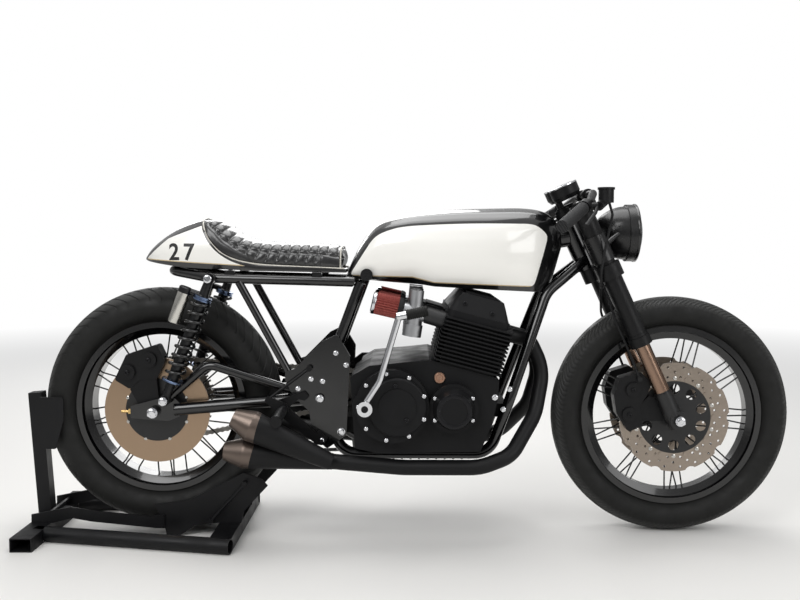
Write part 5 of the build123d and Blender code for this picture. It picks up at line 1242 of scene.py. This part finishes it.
EYE_ROWS = [(-EYE_HALF, 7.6), (-EYE_HALF, 14), (-EYE_HALF + 1, 15), (EYE_HALF - 1, 15), (EYE_HALF, 14),
            (EYE_HALF, 7.6)]
damper_black = coated("anodised_damper_black", "0d0d0f", (2, 0.01), (20, 0.24, 0.36), Metallic=0.3)
can_alloy = coated("turned_bright_alloy", "c8c6c0", (1.5, 0.01), (20, 0.18, 0.28), Metallic=1.0)
collar_blue = coated("anodised_collar_blue", "6f7f9c", (1.5, 0.01), (12, 0.2, 0.3), Metallic=1.0)

blacks, brights, blues = [], [], []
for side in (-1, 1):
    foot = SHOCK_FOOT + ACROSS * side * SHOCK_Y * MM
    head = foot + shock_up * SHOCK_LENGTH * MM
    can = foot + shock_back * CAN_BEHIND * MM
    arm = foot + shock_up * (SHOCK_LENGTH - ARM_BELOW_HEAD) * MM
    blacks.append(spun("damper", foot, shock_up, BODY_ROWS, 32))
    blacks.append(spun("lid", can, shock_up, LID_ROWS, 32))
    blacks.append(spun("arm", arm, shock_back, ARM_ROWS, 24))
    blacks += [spun("eye", spot, ACROSS, EYE_ROWS, 32) for spot in (foot, head)]
    brights.append(spun("can", can, shock_up, CAN_ROWS, 40))
    blues += [spun("collar", foot, shock_up, rows, 40) for rows in (LOW_ROWS, HIGH_ROWS)]
for name, made, material in (("dampers", blacks, damper_black), ("shock_reservoirs", brights, can_alloy),
                             ("spring_collars", blues, collar_blue)):
    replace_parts(gathered(name, made, material, "chassis"), "shocks")

# %% [markdown]
# ## Small trim
# The kick lever's foot end wears a ribbed rubber sleeve. The foremost engine cover on the right carries a
# raised ring, and the oil filler cap is a copper-coloured screw plug. The drive chain's tension is set by
# a brass screw at each end of the swingarm.

# %% Small trim
SLEEVE_FROM, SLEEVE_TO = at(700, -284.3, 644.7), at(754, -284.3, 655.4)
sleeve_run = (SLEEVE_TO - SLEEVE_FROM).normalized()
SLEEVE_RIBS, RIB_PITCH = 11, 5
RIB_ROWS = [(0.5, 14.2), (3, 14.2), (3.4, 12.6), (4.8, 12.6)]
SLEEVE_ROWS = [(0, 0), (0, 13)]
for i in range(SLEEVE_RIBS):
    SLEEVE_ROWS += [(i * RIB_PITCH + along, r) for along, r in RIB_ROWS]
SLEEVE_ROWS += [(55.5, 13), (56.5, 11), (56.5, 0)]
SHAFT_ROWS = [(-6, 0), (-6, 8.8), (1, 8.8), (2, 7.5), (2, 4), (0.5, 3.4), (0.5, 0)]
PLUG_ROWS = [(-1, 0), (-1, 15), (5, 15), (6.5, 13.5), (6.5, 9), (4.5, 8), (4.5, 0)]
COVER_RING_ROWS = [(-0.5, 35), (1.0, 35.4), (1.6, 37), (1.6, 45), (1.0, 46.6), (-0.5, 47)]
SCREW_ROWS = [(-1, 0), (-1, 4), (26, 4), (27, 3), (27, 0)]
NUT_ROWS = [(-0.5, 0), (-0.5, 8), (6, 8), (6.6, 7), (6.6, 0)]
copper = coated("copper_plated_plug", "a98672", (2, 0.02), (12, 0.22, 0.38), Metallic=1.0)
brass = coated("turned_brass", "c9ab74", (2, 0.01), (12, 0.22, 0.36), Metallic=1.0)

finished(spun("kick_pedal_rubber", SLEEVE_FROM, sleeve_run, SLEEVE_ROWS, 32), rubber, "chassis")
finished(spun("kick_shaft_end", at(592, -294, 400), -RIGHT, SHAFT_ROWS, 24), bolt_black, "chassis")
plug_spot = on_face("crankcase", at(789, 0, 468), RIGHT)
finished(spun("oil_filler_plug", plug_spot, -RIGHT, PLUG_ROWS, 32), copper, "chassis")
ring_spot = on_face("points_cover", at(POINTS_X, 0, POINTS_Z), RIGHT, 38)
finished(spun("points_cover_ring", ring_spot, -RIGHT, COVER_RING_ROWS, 64), bolt_black, "chassis")

adjusters = []
for side in (-1, 1):
    _, spot, _, _ = parts["swingarm"].ray_cast(at(-400, side * 122, wheel_z), AHEAD)
    adjusters += [spun("screw", spot, -AHEAD, SCREW_ROWS, 16), spun("nut", spot, -AHEAD, NUT_ROWS, 6)]
gathered("chain_adjusters", adjusters, brass, "chassis")

# %% [markdown]
# ## Floor and light
# A plain pale floor and large soft lamps, as in a small studio. Far off the floor fades to white, so that
# no horizon shows. The camera sees a white world. Polished faces mirror a room that grows brighter with
# height, which gives them their shape, and all other light from the world is dim, so that the lamps shape
# the machine.

# %% Floor
FADE_FROM, FADE_TO = 1.6, 7.0
floor = primitive(bpy.ops.mesh.primitive_plane_add, "studio_floor", size=40, location=(0, 0, 0))
floor_finish, tree, shader = finish("pale_floor", Base_Color=colour("e6e4e0"), Roughness=0.6)
far = ranged(tree, vectors(tree, "LENGTH", own_place(tree)), FADE_FROM, FADE_TO)
seen_far = both(tree, "MULTIPLY", far, add(tree, "LightPath").outputs["Is Camera Ray"])
pale = add(tree, "Emission", {"Color": colour("ffffff"), "Strength": 1.0})
faded = add(tree, "MixShader", None, {0: seen_far, 1: shader.outputs[0], 2: pale.outputs[0]})
tree.links.new(faded.outputs[0], tree.nodes["Material Output"].inputs["Surface"])
floor.data.materials.append(floor_finish)

# %% World and lamps
world = bpy.data.worlds.new("studio")
bpy.context.scene.world = world
world.use_nodes = True
tree = world.node_tree
path = add(tree, "LightPath")
seen = both(tree, "MAXIMUM", path.outputs["Is Camera Ray"], path.outputs["Is Glossy Ray"])
seen = both(tree, "MAXIMUM", seen, path.outputs["Is Transmission Ray"])
way = add(tree, "SeparateXYZ", None, {0: add(tree, "TexCoord").outputs["Generated"]})
mirrored = both(tree, "MAXIMUM", ranged(tree, way.outputs["Z"], -0.05, 0.8, 0.22, 0.8),
                path.outputs["Is Camera Ray"])
dim = add(tree, "Background", {"Color": colour("e8ecf2"), "Strength": 0.4})
bright = add(tree, "Background", {"Color": colour("ffffff")}, {"Strength": mirrored})
mixed = add(tree, "MixShader", None, {0: seen, 1: dim.outputs[0], 2: bright.outputs[0]})
tree.links.new(mixed.outputs[0], tree.nodes["World Output"].inputs["Surface"])

LAMPS = [  # name, place, size, power
    ("key_lamp", (-1.8, -3.2, 3.2), 2.4, 95),
    ("fill_lamp", (2.8, -2.6, 1.8), 2.0, 38),
    ("top_lamp", (0.2, 0.4, 3.4), 2.6, 70),
    ("back_lamp", (-0.8, 3.4, 2.4), 2.4, 60),
]
LIT = Vector((0, 0, 0.5))
for name, spot, size, power in LAMPS:
    lamp = primitive(bpy.ops.object.light_add, name, type="AREA", location=spot)
    lamp.data.size = size
    lamp.data.energy = power
    lamp.rotation_euler = (LIT - Vector(spot)).to_track_quat("-Z", "Y").to_euler()
bpy.context.scene.view_settings.view_transform = "Standard"
